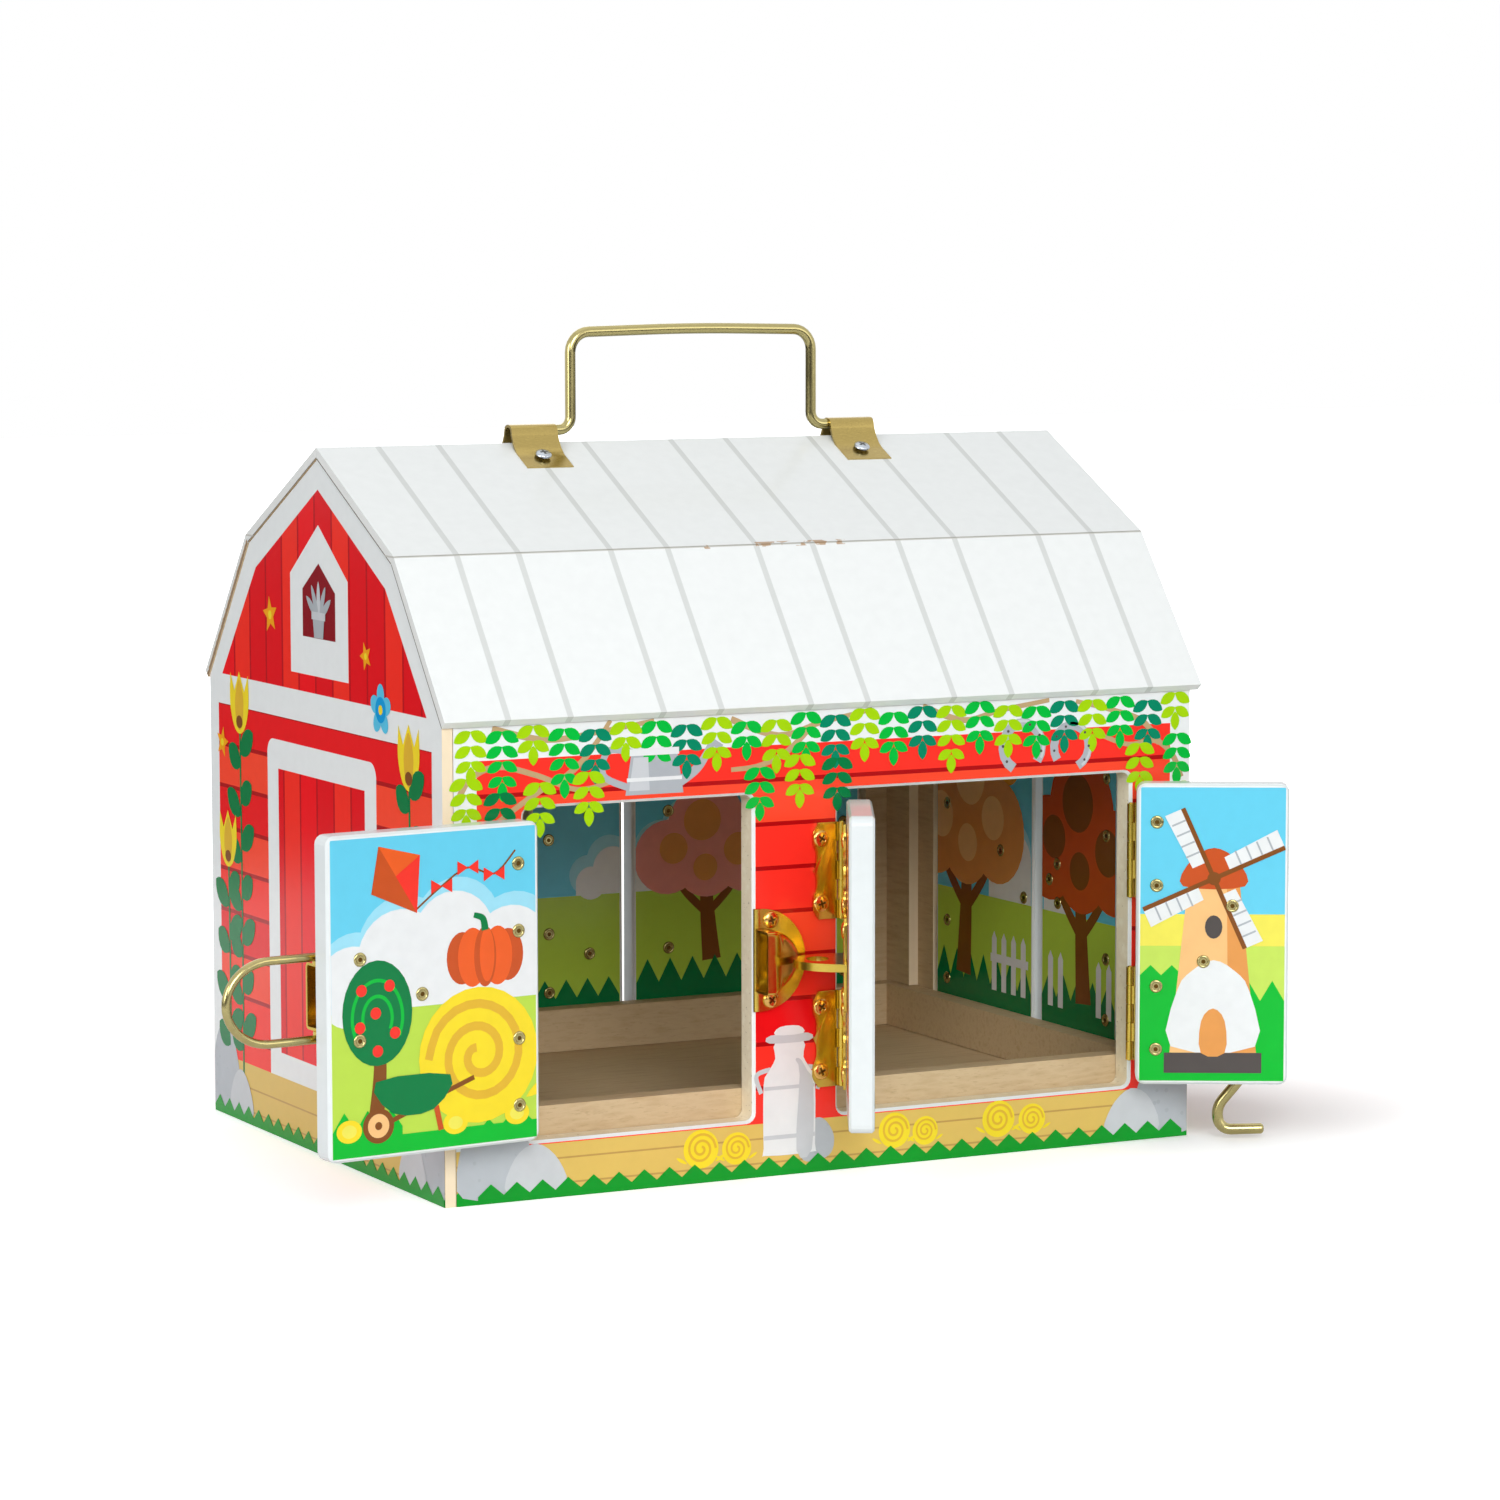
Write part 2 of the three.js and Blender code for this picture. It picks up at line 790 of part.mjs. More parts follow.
// A door leaf: a board with rounded corners and eased edges.
function doorBoard(width, height, thick) {
  const round = doorEdgeRound;
  const bottom = sillHeight + doorHeightGap / 2;
  const shape = roundedRect(
    leafStart,
    bottom,
    leafStart + width,
    bottom + height - doorHeightGap,
    doorCorner,
    -round,
  );
  const board = new THREE.ExtrudeGeometry(shape, {
    depth: thick - 2 * round,
    bevelThickness: round,
    bevelSize: round,
    bevelSegments: 1,
    curveSegments: 2,
  });
  return solid(board.rotateX(Math.PI / 2).translate(0, outerFace + thick - round, 0));
}

// A doorway side: two hinges on the wall, and the leaf with its own hinge halves, swung open.
function hangDoor(name, frame, options) {
  const { width, height, thick, angle, material } = options;
  const swing = new THREE.Group();
  swing.rotation.z = -THREE.MathUtils.degToRad(angle);
  frame.add(swing);
  const levels = [
    ["lower", sillHeight + hingeFromSill],
    ["upper", sillHeight + height - hingeFromHead],
  ];
  for (const [level, at] of levels) {
    frame.add(hingeLeaf(`${name}_${level}_hinge_wall_leaf`, at, true));
    swing.add(hingeLeaf(`${name}_${level}_hinge_door_leaf`, at, false));
  }
  swing.add(part(name, doorBoard(width, height, thick), material));
  return swing;
}

const leftDoorWidth = leftDoorwayWidth - hingeSideGap - leftDoorGap;
const pairDoorWidth =
  (rightDoorwayRight - rightDoorwayLeft - pairDoorGap) / 2 - hingeSideGap;
const backLargeDoorWidth =
  backDoorwayWidth - 2 * hingeSideGap - backSmallDoorWidth - backDoorGap;
const endFrontDoorWidth =
  endDoorwayWidth - 2 * hingeSideGap - endBackDoorWidth - endDoorGap;
const frontAxis = -halfWidth - knuckleOut;
const endAxis = halfLength + knuckleOut;

const leftDoorFrame = hingeFrame(leftDoorwayLeft + axisInGap, frontAxis, 0, false);
const leftDoor = hangDoor("front_door_left", leftDoorFrame, {
  width: leftDoorWidth,
  height: doorwayHeight,
  thick: boardThick,
  angle: leftDoorAngle,
  material: skyPaint,
});

const middleDoorFrame = hingeFrame(rightDoorwayLeft + axisInGap, frontAxis, 0, false);
const middleDoor = hangDoor("front_door_middle", middleDoorFrame, {
  width: pairDoorWidth,
  height: doorwayHeight,
  thick: boardThick,
  angle: middleDoorAngle,
  material: skyPaint,
});

const rightDoorFrame = hingeFrame(rightDoorwayRight - axisInGap, frontAxis, 0, true);
const rightDoor = hangDoor("front_door_right", rightDoorFrame, {
  width: pairDoorWidth,
  height: doorwayHeight,
  thick: boardThick,
  angle: rightDoorAngle,
  material: skyPaint,
});

const backSmallFrame = hingeFrame(
  backDoorwayLeft + axisInGap,
  -frontAxis,
  Math.PI,
  true,
);
const backSmallDoor = hangDoor("back_door_small", backSmallFrame, {
  width: backSmallDoorWidth,
  height: doorwayHeight,
  thick: boardThick,
  angle: 0,
  material: skyPaint,
});

const backLargeFrame = hingeFrame(
  backDoorwayRight - axisInGap,
  -frontAxis,
  Math.PI,
  false,
);
const backLargeDoor = hangDoor("back_door_large", backLargeFrame, {
  width: backLargeDoorWidth,
  height: doorwayHeight,
  thick: boardThick,
  angle: 0,
  material: skyPaint,
});

const endBackFrame = hingeFrame(
  endAxis,
  endDoorwayBack - axisInGap,
  Math.PI / 2,
  true,
);
const endBackDoor = hangDoor("end_door_back", endBackFrame, {
  width: endBackDoorWidth,
  height: endDoorwayHeight,
  thick: endBoardThick,
  angle: 0,
  material: skyPaint,
});

const endFrontFrame = hingeFrame(
  endAxis,
  endDoorwayFront + axisInGap,
  Math.PI / 2,
  false,
);
const endFrontDoor = hangDoor("end_door_front", endFrontFrame, {
  width: endFrontDoorWidth,
  height: endDoorwayHeight,
  thick: endBoardThick,
  angle: 0,
  material: skyPaint,
});

// A D-shaped plate: a straight edge at x = edge, and a rounded end towards x = edge + reach.
function dPlateOutline(edge, reach, half, straightShare) {
  const straight = edge + reach * straightShare;
  const bow = Math.abs(reach) * (1 - straightShare);
  const quarter = Math.PI / 2;
  const shape = new THREE.Shape();
  shape.moveTo(edge, latchHeight - half);
  shape.lineTo(straight, latchHeight - half);
  if (reach > 0)
    shape.absellipse(straight, latchHeight, bow, half, -quarter, quarter, false);
  else shape.absellipse(straight, latchHeight, bow, half, 3 * quarter, quarter, true);
  shape.lineTo(edge, latchHeight + half);
  return shape;
}

// A half dome that is open at its flat side, at x = edge, and slopes down towards edge + reach.
function hoodShell(edge, reach, half, rise, wall, base) {
  const dome = (shrink) => {
    const ball = new THREE.SphereGeometry(1, hoodSides, hoodSides / 2);
    ball.scale(Math.abs(reach) - shrink, rise - shrink, half - shrink);
    return solid(ball.translate(edge, base, latchHeight));
  };
  const far = edge + reach + Math.sign(reach) * cutOverrun;
  const keep = block(
    [Math.min(edge, far), base - rise - cutOverrun, latchHeight - half - cutOverrun],
    [Math.max(edge, far), base, latchHeight + half + cutOverrun],
  );
  return dome(0).subtract(dome(wall)).intersect(keep);
}

// Draw latch: a plate with two ears, a hood-shaped lever on a pin, and a loop of wire
const latchEdge = leafStart + leftDoorWidth - latchEdgeInset;
const latchFace = faceOut(glueGap + latchPlateThick);
const leverPinX = latchEdge - leverInset - leverPinIn;
const leverPinY = faceOut(leverPinRise);
const leverPinReach = hoodHalf + glueGap + (earThick - glueGap) / 2;
const earRadius = loopWireRadius + pinPlay + earWall;

function latchPlate() {
  const shape = dPlateOutline(latchEdge, -latchPlateLength, latchPlateHalf, 0.5);
  const plate = uprightPlate(shape, latchPlateThick, faceOut(glueGap), bendSteps);
  const pieces = [plate];
  for (const side of [-1, 1]) {
    const at = latchHeight + side * (hoodHalf + glueGap + earThick / 2);
    const low = at - earThick / 2;
    const high = at + earThick / 2;
    pieces.push(uprightRod(leverPinX, leverPinY, low, high, earRadius));
    pieces.push(
      block(
        [leverPinX - earRadius, leverPinY, low],
        [leverPinX + earRadius, latchFace + glueGap, high],
      ),
    );
    pieces.push(
      screwHead(latchEdge - latchScrewIn, latchHeight + side * latchScrewHalf, latchFace),
    );
  }
  pieces.push(screwHead(latchEdge - latchEndScrewIn, latchHeight, latchFace));
  const bore = uprightRod(
    leverPinX,
    leverPinY,
    latchHeight - latchPlateHalf,
    latchHeight + latchPlateHalf,
    loopWireRadius + pinPlay,
  );
  return fused(pieces).subtract(bore);
}
leftDoor.add(part("latch_plate", latchPlate(), brass));

function latchLever() {
  const edge = latchEdge - leverInset;
  const base = latchFace - leverLift;
  const hood = hoodShell(edge, -hoodLength, hoodHalf, hoodRise, hoodWall, base);
  const pin = uprightRod(
    leverPinX,
    leverPinY,
    latchHeight - leverPinReach,
    latchHeight + leverPinReach,
    loopWireRadius,
  );
  return hood.add(pin);
}
leftDoor.add(part("latch_lever", latchLever(), brass));

// The loop's tips turn in the ears, in line with the ends of the lever's pin.
function latchLoop() {
  const half = loopHalf;
  const bowStart = leverPinX + loopReach - loopBowLength;
  const bow = Array.from({ length: bowSteps + 1 }, (_, i) => {
    const angle = Math.PI / 2 - (Math.PI * i) / bowSteps;
    return new THREE.Vector2(
      bowStart + loopBowLength * Math.cos(angle),
      latchHeight + half * Math.sin(angle),
    );
  });
  const ends = [1, -1].map(
    (side) => new THREE.Vector2(leverPinX, latchHeight + side * half),
  );
  const route = [ends[0], ...bow, ends[1]];
  const tips = [-1, 1].map((side) => {
    const outer = latchHeight + side * (half + loopWireRadius);
    const inner = latchHeight + side * (leverPinReach + glueGap);
    const low = Math.min(outer, inner);
    return uprightRod(leverPinX, leverPinY, low, Math.max(outer, inner), loopWireRadius);
  });
  return fused([flatWire(route, leverPinY, loopWireRadius), ...tips]);
}
leftDoor.add(part("latch_loop", latchLoop(), brass));

// The keeper on the post between the doorways
function latchKeeper() {
  const edge = leftDoorwayWidth - axisInGap;
  const shape = dPlateOutline(edge, keeperLength, keeperHalf, 0.12);
  const pieces = [uprightPlate(shape, latchPlateThick, faceOut(glueGap), bendSteps)];
  const base = latchFace + glueGap;
  pieces.push(
    hoodShell(
      edge + glueGap,
      keeperHoodLength,
      keeperHoodHalf,
      keeperHoodRise,
      hoodWall,
      base,
    ),
  );
  for (const side of [-1, 1])
    pieces.push(
      screwHead(edge + keeperScrewIn, latchHeight + side * keeperScrewHalf, latchFace),
    );
  return fused(pieces);
}
leftDoorFrame.add(part("latch_keeper", latchKeeper(), brass));

// Cabin hook: a base plate with a headed post, and the wire hook that hangs from it
const hookPlane = faceOut(hookOut);
const pivotSpan = rightDoorwayRight - rightDoorwayLeft - 2 * axisInGap;

function hookBase() {
  const half = hookBaseWidth / 2;
  const reach = hookBaseLength / 2;
  const slot = roundedRect(-reach, -half, reach, half, half * 0.98);
  const plate = new THREE.ExtrudeGeometry(slot, {
    depth: latchPlateThick,
    bevelEnabled: false,
    curveSegments: 5,
  });
  plate.rotateZ(THREE.MathUtils.degToRad(hookBaseTurn));
  plate.rotateX(Math.PI / 2).translate(hookBaseIn, faceOut(glueGap), hookBaseHeight);
  const turn = THREE.MathUtils.degToRad(hookBaseTurn);
  const screws = [-1, 1].map((side) =>
    screwHead(
      hookBaseIn + side * hookBaseScrewHalf * Math.cos(turn),
      hookBaseHeight + side * hookBaseScrewHalf * Math.sin(turn),
      latchFace,
    ),
  );
  const headFace = hookPlane - hookWireRadius - hookPlay;
  const stem = post(
    hookPivotIn,
    hookPivotHeight,
    hookPostRadius,
    latchFace - headFace + 2 * glueGap,
    latchFace + glueGap,
  );
  const head = post(
    hookPivotIn,
    hookPivotHeight,
    hookPostHead,
    hookPostHeadThick,
    headFace,
  );
  return fused([solid(plate), stem, head, ...screws]);
}
rightDoor.add(part("hook_base_plate", hookBase(), brass));

function cabinHook() {
  const ringRadius = hookPostRadius + hookPlay + hookWireRadius;
  const ring = new THREE.TorusGeometry(ringRadius, hookWireRadius, wireSides, ringSteps);
  ring.rotateX(Math.PI / 2).translate(hookPivotIn, hookPlane, hookPivotHeight);
  const drop = pivotSpan - hookPivotIn - eyePlateIn - hookShortOfEye;
  const heel = hookPivotHeight - drop;
  const route = roundedRoute(
    [
      [hookPivotIn, hookPivotHeight - ringRadius],
      [hookPivotIn + hookShankEndIn, heel + hookShankEndUp],
      [hookPivotIn + hookBulgeIn, heel + hookBulgeUp],
      [hookPivotIn + hookHeelIn, heel],
      [hookPivotIn + hookTipIn, heel + hookTipUp],
    ],
    hookBend,
  );
  return solid(ring).add(flatWire(route, hookPlane, hookWireRadius));
}
rightDoor.add(part("cabin_hook", cabinHook(), brass));

// The eye plate: a base screwed to the door and a flat tongue with a hole for the hook's tip
function hookEye() {
  const start = eyeBaseFromHinge;
  const low = eyePlateHeight - eyeBaseHalf;
  const high = eyePlateHeight + eyeBaseHalf;
  const base = uprightPlate(
    roundedRect(start, low, start + eyeBaseWidth, high, doorCorner),
    latchPlateThick,
    faceOut(glueGap),
  );
  const tongue = new THREE.Shape();
  tongue.moveTo(-eyeTongueHalf, 0);
  tongue.absellipse(0, 0, eyeTongueHalf, eyeTongueReach, Math.PI, 2 * Math.PI, false);
  const hole = new THREE.Path();
  hole.absellipse(0, -eyeHoleFromDoor, eyeHoleIn, eyeHoleOut, 0, 2 * Math.PI, false);
  tongue.holes.push(hole);
  const flat = new THREE.ExtrudeGeometry(tongue, {
    depth: eyeTongueThick,
    bevelEnabled: false,
    curveSegments: 7,
  });
  flat.translate(eyePlateIn, faceOut(glueGap), eyePlateHeight - eyeTongueThick / 2);
  const screws = [-1, 1].map((side) =>
    screwHead(
      start + eyeBaseWidth / 2,
      eyePlateHeight + side * hookBaseScrewHalf,
      latchFace,
    ),
  );
  return fused([base, solid(flat), ...screws]);
}
middleDoor.add(part("hook_eye_plate", hookEye(), brass));

// Barrel bolt on the end doors: a plate with two guides, the bolt, and a keeper with a staple
const boltAxis = faceOut(glueGap + boltRise);
const boltPlateEnd = leafStart + endBackDoorWidth - boltPlateIn;
const boltPlateStart = boltPlateEnd - boltPlateLength;
const boltFace = faceOut(glueGap + latchPlateThick);

// A strap that arches over the bolt between two places along it.
function boltGuide(start, end, play) {
  const inner = boltRadius + play;
  const outer = inner + boltGuideWall;
  const arch = fused([
    levelRod(boltAxis, boltHeight, start, end, outer, smallSides),
    block(
      [start, boltAxis, boltHeight - outer],
      [end, boltFace + glueGap, boltHeight + outer],
    ),
  ]);
  return arch.subtract(
    levelRod(boltAxis, boltHeight, start - cutOverrun, end + cutOverrun, inner, boreSides),
  );
}

function boltPlate() {
  const plate = uprightPlate(
    roundedRect(
      boltPlateStart,
      boltHeight - boltPlateHalf,
      boltPlateEnd,
      boltHeight + boltPlateHalf,
      doorCorner,
    ),
    latchPlateThick,
    faceOut(glueGap),
  );
  const guides = [
    boltGuide(boltPlateStart, boltPlateStart + boltGuideLength, boltPlay),
    boltGuide(boltPlateEnd - boltGuideLength, boltPlateEnd, boltPlay),
  ];
  const screws = [-1, 1].flatMap((up) =>
    [0.15, 0.85].map((share) =>
      screwHead(
        boltPlateStart + share * boltPlateLength,
        boltHeight + up * boltScrewHalf,
        boltFace,
      ),
    ),
  );
  return fused([plate, ...guides, ...screws]);
}
endBackDoor.add(part("bolt_plate", boltPlate(), brass));

function boltRod() {
  const tip = leafStart + endBackDoorWidth + boltTipOut;
  const rod = levelRod(boltAxis, boltHeight, tip - boltLength, tip, boltRadius, smallSides);
  const knobAt = tip - boltKnobBack;
  const knob = post(knobAt, boltHeight, boltKnobRadius, boltKnobRise, boltAxis);
  return rod.add(knob);
}
endBackDoor.add(part("bolt_rod", boltRod(), brass));

function boltKeeper() {
  const end = leafStart + endFrontDoorWidth - boltKeeperIn;
  const start = end - boltKeeperLength;
  const plate = uprightPlate(
    roundedRect(
      start,
      boltHeight - boltKeeperHalf,
      end,
      boltHeight + boltKeeperHalf,
      doorCorner,
    ),
    latchPlateThick,
    faceOut(glueGap),
  );
  const staple = boltGuide(end - boltStapleLength, end, boltStaplePlay);
  const screws = [-1, 1].map((up) =>
    screwHead(start + boltKeeperLength * 0.3, boltHeight + up * boltScrewHalf, boltFace),
  );
  return fused([plate, staple, ...screws]);
}
endFrontDoor.add(part("bolt_keeper", boltKeeper(), brass));

// Back hooks: each turns on a headed stud of the small leaf and drops over one of the large leaf
const backHookPlane = faceOut(backHookOut);
const backHookHeights = [
  ["lower", sillHeight + backHookLowShare * doorwayHeight],
  ["upper", sillHeight + backHookHighShare * doorwayHeight],
];

// A headed stud in a board's outer face, fused with the board that carries it.
function headedStud(x, z) {
  const headFace = backHookPlane - backHookWire - backHookPlay;
  const stem = post(x, z, backStudRadius, outerFace + glueGap - headFace, outerFace + glueGap);
  const head = post(x, z, backStudHead, backStudHeadThick, headFace + glueGap);
  return stem.add(head);
}

function backHook(height) {
  const pivot = leafStart + backSmallDoorWidth - backHookFromEdge;
  const ringRadius = backStudRadius + backHookPlay + backHookWire;
  const ring = new THREE.TorusGeometry(ringRadius, backHookWire, pinSides, ringSteps);
  ring.rotateX(Math.PI / 2).translate(pivot, backHookPlane, height);
  const down = backHookLength + ringRadius;
  const route = roundedRoute(
    [
      [pivot, height - ringRadius],
      [pivot - ringRadius, height - backHookLength + 2 * ringRadius],
      [pivot - ringRadius, height - down],
      [pivot + backHookTipDrop, height - down],
    ],
    ringRadius,
  );
  return solid(ring).add(flatWire(route, backHookPlane, backHookWire));
}

// The back leaves carry the studs, so they are rebuilt with them here.
function addStuds(group, name, x) {
  const board = group.getObjectByName(name);
  const studs = backHookHeights.map(([, height]) => headedStud(x, height));
  const withStuds = part(
    name,
    fused([solid(board.geometry), ...studs]),
    board.material,
  );
  board.removeFromParent();
  group.add(withStuds);
}
addStuds(
  backSmallDoor,
  "back_door_small",
  leafStart + backSmallDoorWidth - backHookFromEdge,
);
const studReach =
  backLargeDoorWidth + leafStart + backDoorGap + backHookFromEdge - backHookLength;
addStuds(backLargeDoor, "back_door_large", studReach);
for (const [level, height] of backHookHeights)
  backSmallDoor.add(part(`back_hook_${level}`, backHook(height), brass));

export default barn;
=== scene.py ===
import math
import random

import bmesh
import bpy
from mathutils import Matrix, Quaternion, Vector


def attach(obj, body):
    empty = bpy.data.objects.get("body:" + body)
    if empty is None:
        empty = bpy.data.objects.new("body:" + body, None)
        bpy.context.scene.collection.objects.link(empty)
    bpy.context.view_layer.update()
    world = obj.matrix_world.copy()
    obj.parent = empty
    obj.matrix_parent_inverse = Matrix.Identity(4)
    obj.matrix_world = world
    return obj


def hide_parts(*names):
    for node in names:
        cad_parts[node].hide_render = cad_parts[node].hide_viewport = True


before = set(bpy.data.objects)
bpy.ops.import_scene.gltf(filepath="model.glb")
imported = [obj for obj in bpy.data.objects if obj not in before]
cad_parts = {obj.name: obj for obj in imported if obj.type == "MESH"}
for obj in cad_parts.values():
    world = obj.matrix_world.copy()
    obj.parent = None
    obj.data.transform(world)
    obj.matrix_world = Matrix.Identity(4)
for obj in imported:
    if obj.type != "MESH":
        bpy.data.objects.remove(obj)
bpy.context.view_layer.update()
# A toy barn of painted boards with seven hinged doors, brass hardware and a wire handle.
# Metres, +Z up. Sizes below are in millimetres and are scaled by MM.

MM = 0.001

# Camera
# A long lens at the barn's left front corner, a little above the roof's eave.
LENS_MM = 121.58
SENSOR_MM = 36
CAMERA_PLACE = Vector((-0.89638, -1.79807, 0.36441))
CAMERA_RIGHT = Vector((0.88976777, -0.45641146, -0.00137674))
CAMERA_UP = Vector((0.04956994, 0.09363644, 0.99437168))

camera_data = bpy.data.cameras.new("camera")
camera_data.lens = LENS_MM
camera_data.sensor_width = SENSOR_MM
camera_data.clip_start = 0.05
camera = bpy.data.objects.new("camera", camera_data)
bpy.context.scene.collection.objects.link(camera)
camera_back = CAMERA_RIGHT.cross(CAMERA_UP).normalized()
turn = Matrix((CAMERA_RIGHT, CAMERA_UP, camera_back)).transposed()
camera.matrix_world = Matrix.Translation(CAMERA_PLACE) @ turn.to_4x4()
bpy.context.scene.camera = camera

# Studio
# A pale table that fades into white, with large soft lamps above and in front, and the dark room
# behind the camera that polished metal shows as streaks.
TABLE_HALF = 6.0
TABLE_EDGE = (0.78, 1.0)
TABLE_WHITE = (0.3, 0.62)
TABLE_GLOW = (0.0, 0.42)
TABLE_TONE = (0.9, 0.9, 0.9, 1)
PAST_TABLE = (0.03, 0.03, 0.03, 1)
MIRROR_SHARE = 0.2
SHADE_PLACE = (0.19, -0.075, 0)
SHADE_REACH = (0.03, 0.105)
LAMP_AIM = Vector((0, 0, 0.12))
LAMPS = (
    ("key_lamp", (-0.95, -3.1, 1.6), 1.9, 60.5),
    ("side_lamp", (-2.5, -1.0, 1.0), 1.4, 23.0),
    ("fill_lamp", (1.6, -2.6, 1.0), 1.6, 8.0),
    ("top_lamp", (0.1, 0.2, 2.2), 1.8, 2.0),
    ("back_lamp", (0.5, 2.1, 1.2), 1.6, 5.0),
)
SKY_LIGHT = 0.4
SKY_COLOUR = (0.97, 0.985, 1, 1)
ROOM_TONE = 0.12
ROOM_EDGE_SHARES = (0.9, 0.975)
WHITE_LIGHT = (1, 1, 1, 1)
BLACK = (0, 0, 0, 1)
EDGE_SOFT_MM = 0.12


def add_object(name, data):
    made = bpy.data.objects.new(name, data)
    bpy.context.scene.collection.objects.link(made)
    return made


for lamp_name, place, size, power in LAMPS:
    lamp = bpy.data.lights.new(lamp_name, "AREA")
    lamp.shape = "DISK"
    lamp.size = size
    lamp.energy = power
    holder = add_object(lamp_name, lamp)
    holder.location = place
    holder.rotation_euler = (LAMP_AIM - Vector(place)).to_track_quat("-Z", "Y").to_euler()


class Number:
    """A number that a node tree works out at each point."""

    def __init__(self, nodes, socket):
        self.nodes = nodes
        self.socket = socket

    def math(self, kind, *others, clamp=False):
        return self.nodes.number("ShaderNodeMath", self, *others,
                                 settings={"operation": kind, "use_clamp": clamp})

    def __add__(self, other):
        return self.math("ADD", other)

    def __sub__(self, other):
        return self.math("SUBTRACT", other)

    def __mul__(self, other):
        return self.math("MULTIPLY", other)

    def __abs__(self):
        return self.math("ABSOLUTE")

    def either(self, other):
        return self.math("MAXIMUM", other)

    def over(self, edge, soft=EDGE_SOFT_MM):
        """1 where the number is above the edge, 0 below it"""
        return self.math("MULTIPLY_ADD", 1 / soft, 0.5 - edge / soft, clamp=True)

    def under(self, edge, soft=EDGE_SOFT_MM):
        if isinstance(edge, Number):
            return (self - edge).under(0, soft)
        return self.math("MULTIPLY_ADD", -1 / soft, 0.5 + edge / soft, clamp=True)

    def within(self, low, high, soft=EDGE_SOFT_MM):
        return self.over(low, soft) * self.under(high, soft)

    def saw(self, start, pitch):
        """how far through its repeat the number is, in millimetres"""
        return ((self - start) * (1 / pitch)).math("FRACT") * pitch

    def ramp(self, edges, low=0.0, high=1.0):
        return self.nodes.number("ShaderNodeMapRange", self, *edges, low, high)


class Nodes:
    """The nodes of a world, a material or a node tree under construction."""

    def __init__(self, tree):
        self.tree = tree

    def feed(self, socket, value):
        if isinstance(value, Number):
            value = value.socket
        if isinstance(value, bpy.types.NodeSocket):
            self.tree.links.new(value, socket)
        else:
            socket.default_value = value

    def add(self, kind, *values, settings=None, **inputs):
        """a new node, its inputs fed in their order or by their names"""
        node = self.tree.nodes.new(kind)
        for key, value in (settings or {}).items():
            setattr(node, key, value)
        for socket, value in zip(node.inputs, values):
            self.feed(socket, value)
        for key, value in inputs.items():
            self.feed(node.inputs[key.replace("_", " ")], value)
        return node

    def out(self, kind, *values, output=0, **options):
        return self.add(kind, *values, **options).outputs[output]

    def number(self, kind, *values, **options):
        return Number(self, self.out(kind, *values, **options))

    def rays(self, *kinds):
        """for each kind of ray, 1 where the light path is such a ray"""
        return [self.number("ShaderNodeLightPath", output=kind) for kind in kinds]

    def vector_math(self, kind, first, second):
        return self.number("ShaderNodeVectorMath", first, second,
                           settings={"operation": kind}, output="Value")

    def parts(self, vector):
        outputs = self.add("ShaderNodeSeparateXYZ", vector).outputs
        return [Number(self, socket) for socket in outputs]

    def mix(self, share, under, over):
        node = self.add("ShaderNodeMix", share, settings={"data_type": "RGBA"})
        self.feed(node.inputs[6], under)
        self.feed(node.inputs[7], over)
        return node.outputs[2]


world = bpy.data.worlds.new("studio")
bpy.context.scene.world = world
world.use_nodes = True
world.node_tree.nodes.clear()
sky = Nodes(world.node_tree)
seen, glossy, through = sky.rays("Is Camera Ray", "Is Glossy Ray", "Is Transmission Ray")
way = sky.out("ShaderNodeTexCoord", output="Generated")
to_room = sky.vector_math("DOT_PRODUCT", way, (CAMERA_PLACE * Vector((1, 1, 0))).normalized())
dark = glossy * to_room.ramp(ROOM_EDGE_SHARES, 0, 1 - ROOM_TONE)
shown = sky.out("ShaderNodeBackground", sky.mix(dark, WHITE_LIGHT, BLACK))
lighting = sky.out("ShaderNodeBackground", SKY_COLOUR, SKY_LIGHT)
both = sky.out("ShaderNodeMixShader", seen.either(glossy.either(through)), lighting, shown)
sky.add("ShaderNodeOutputWorld", both)
bpy.context.scene.view_settings.view_transform = "Standard"

table_mesh = bpy.data.meshes.new("studio_table")
table_mesh.from_pydata([(x * TABLE_HALF, y * TABLE_HALF, 0)
                        for x, y in ((-1, -1), (1, -1), (1, 1), (-1, 1))], [], [(0, 1, 2, 3)])
table = add_object("studio_table", table_mesh)
table_paint = bpy.data.materials.new("studio_table")
table_paint.use_nodes = True
table_mesh.materials.append(table_paint)
top = Nodes(table_paint.node_tree)
seen, glossy = top.rays("Is Camera Ray", "Is Glossy Ray")
spot = top.out("ShaderNodeTexCoord", output="Object")
from_middle = top.vector_math("DISTANCE", spot, (0, 0, 0))
shade = top.vector_math("DISTANCE", spot, SHADE_PLACE).ramp(SHADE_REACH, *TABLE_GLOW)
near_mirror = glossy * from_middle.ramp(TABLE_EDGE, MIRROR_SHARE, 0.0)
glow = (from_middle.ramp(TABLE_WHITE) + shade) * seen.either(near_mirror)
tone = top.mix(from_middle.ramp(TABLE_EDGE), TABLE_TONE, PAST_TABLE)
surface = table_paint.node_tree.nodes["Principled BSDF"]
for label, value in (("Roughness", 0.7), ("Specular IOR Level", 0.2),
                     ("Base Color", top.mix(seen, tone, WHITE_LIGHT))):
    top.feed(surface.inputs[label], value)
glowing = top.out("ShaderNodeEmission", Strength=glow)
lit = top.out("ShaderNodeAddShader", surface.outputs[0], glowing)
top.feed(table_paint.node_tree.nodes["Material Output"].inputs["Surface"], lit)

# Paint and print
# The boards are printed in flat gloss colours; each material works its pattern out in millimetres.
# A point is on a board's face where its normal's share along the outward way is past ON_FACE.


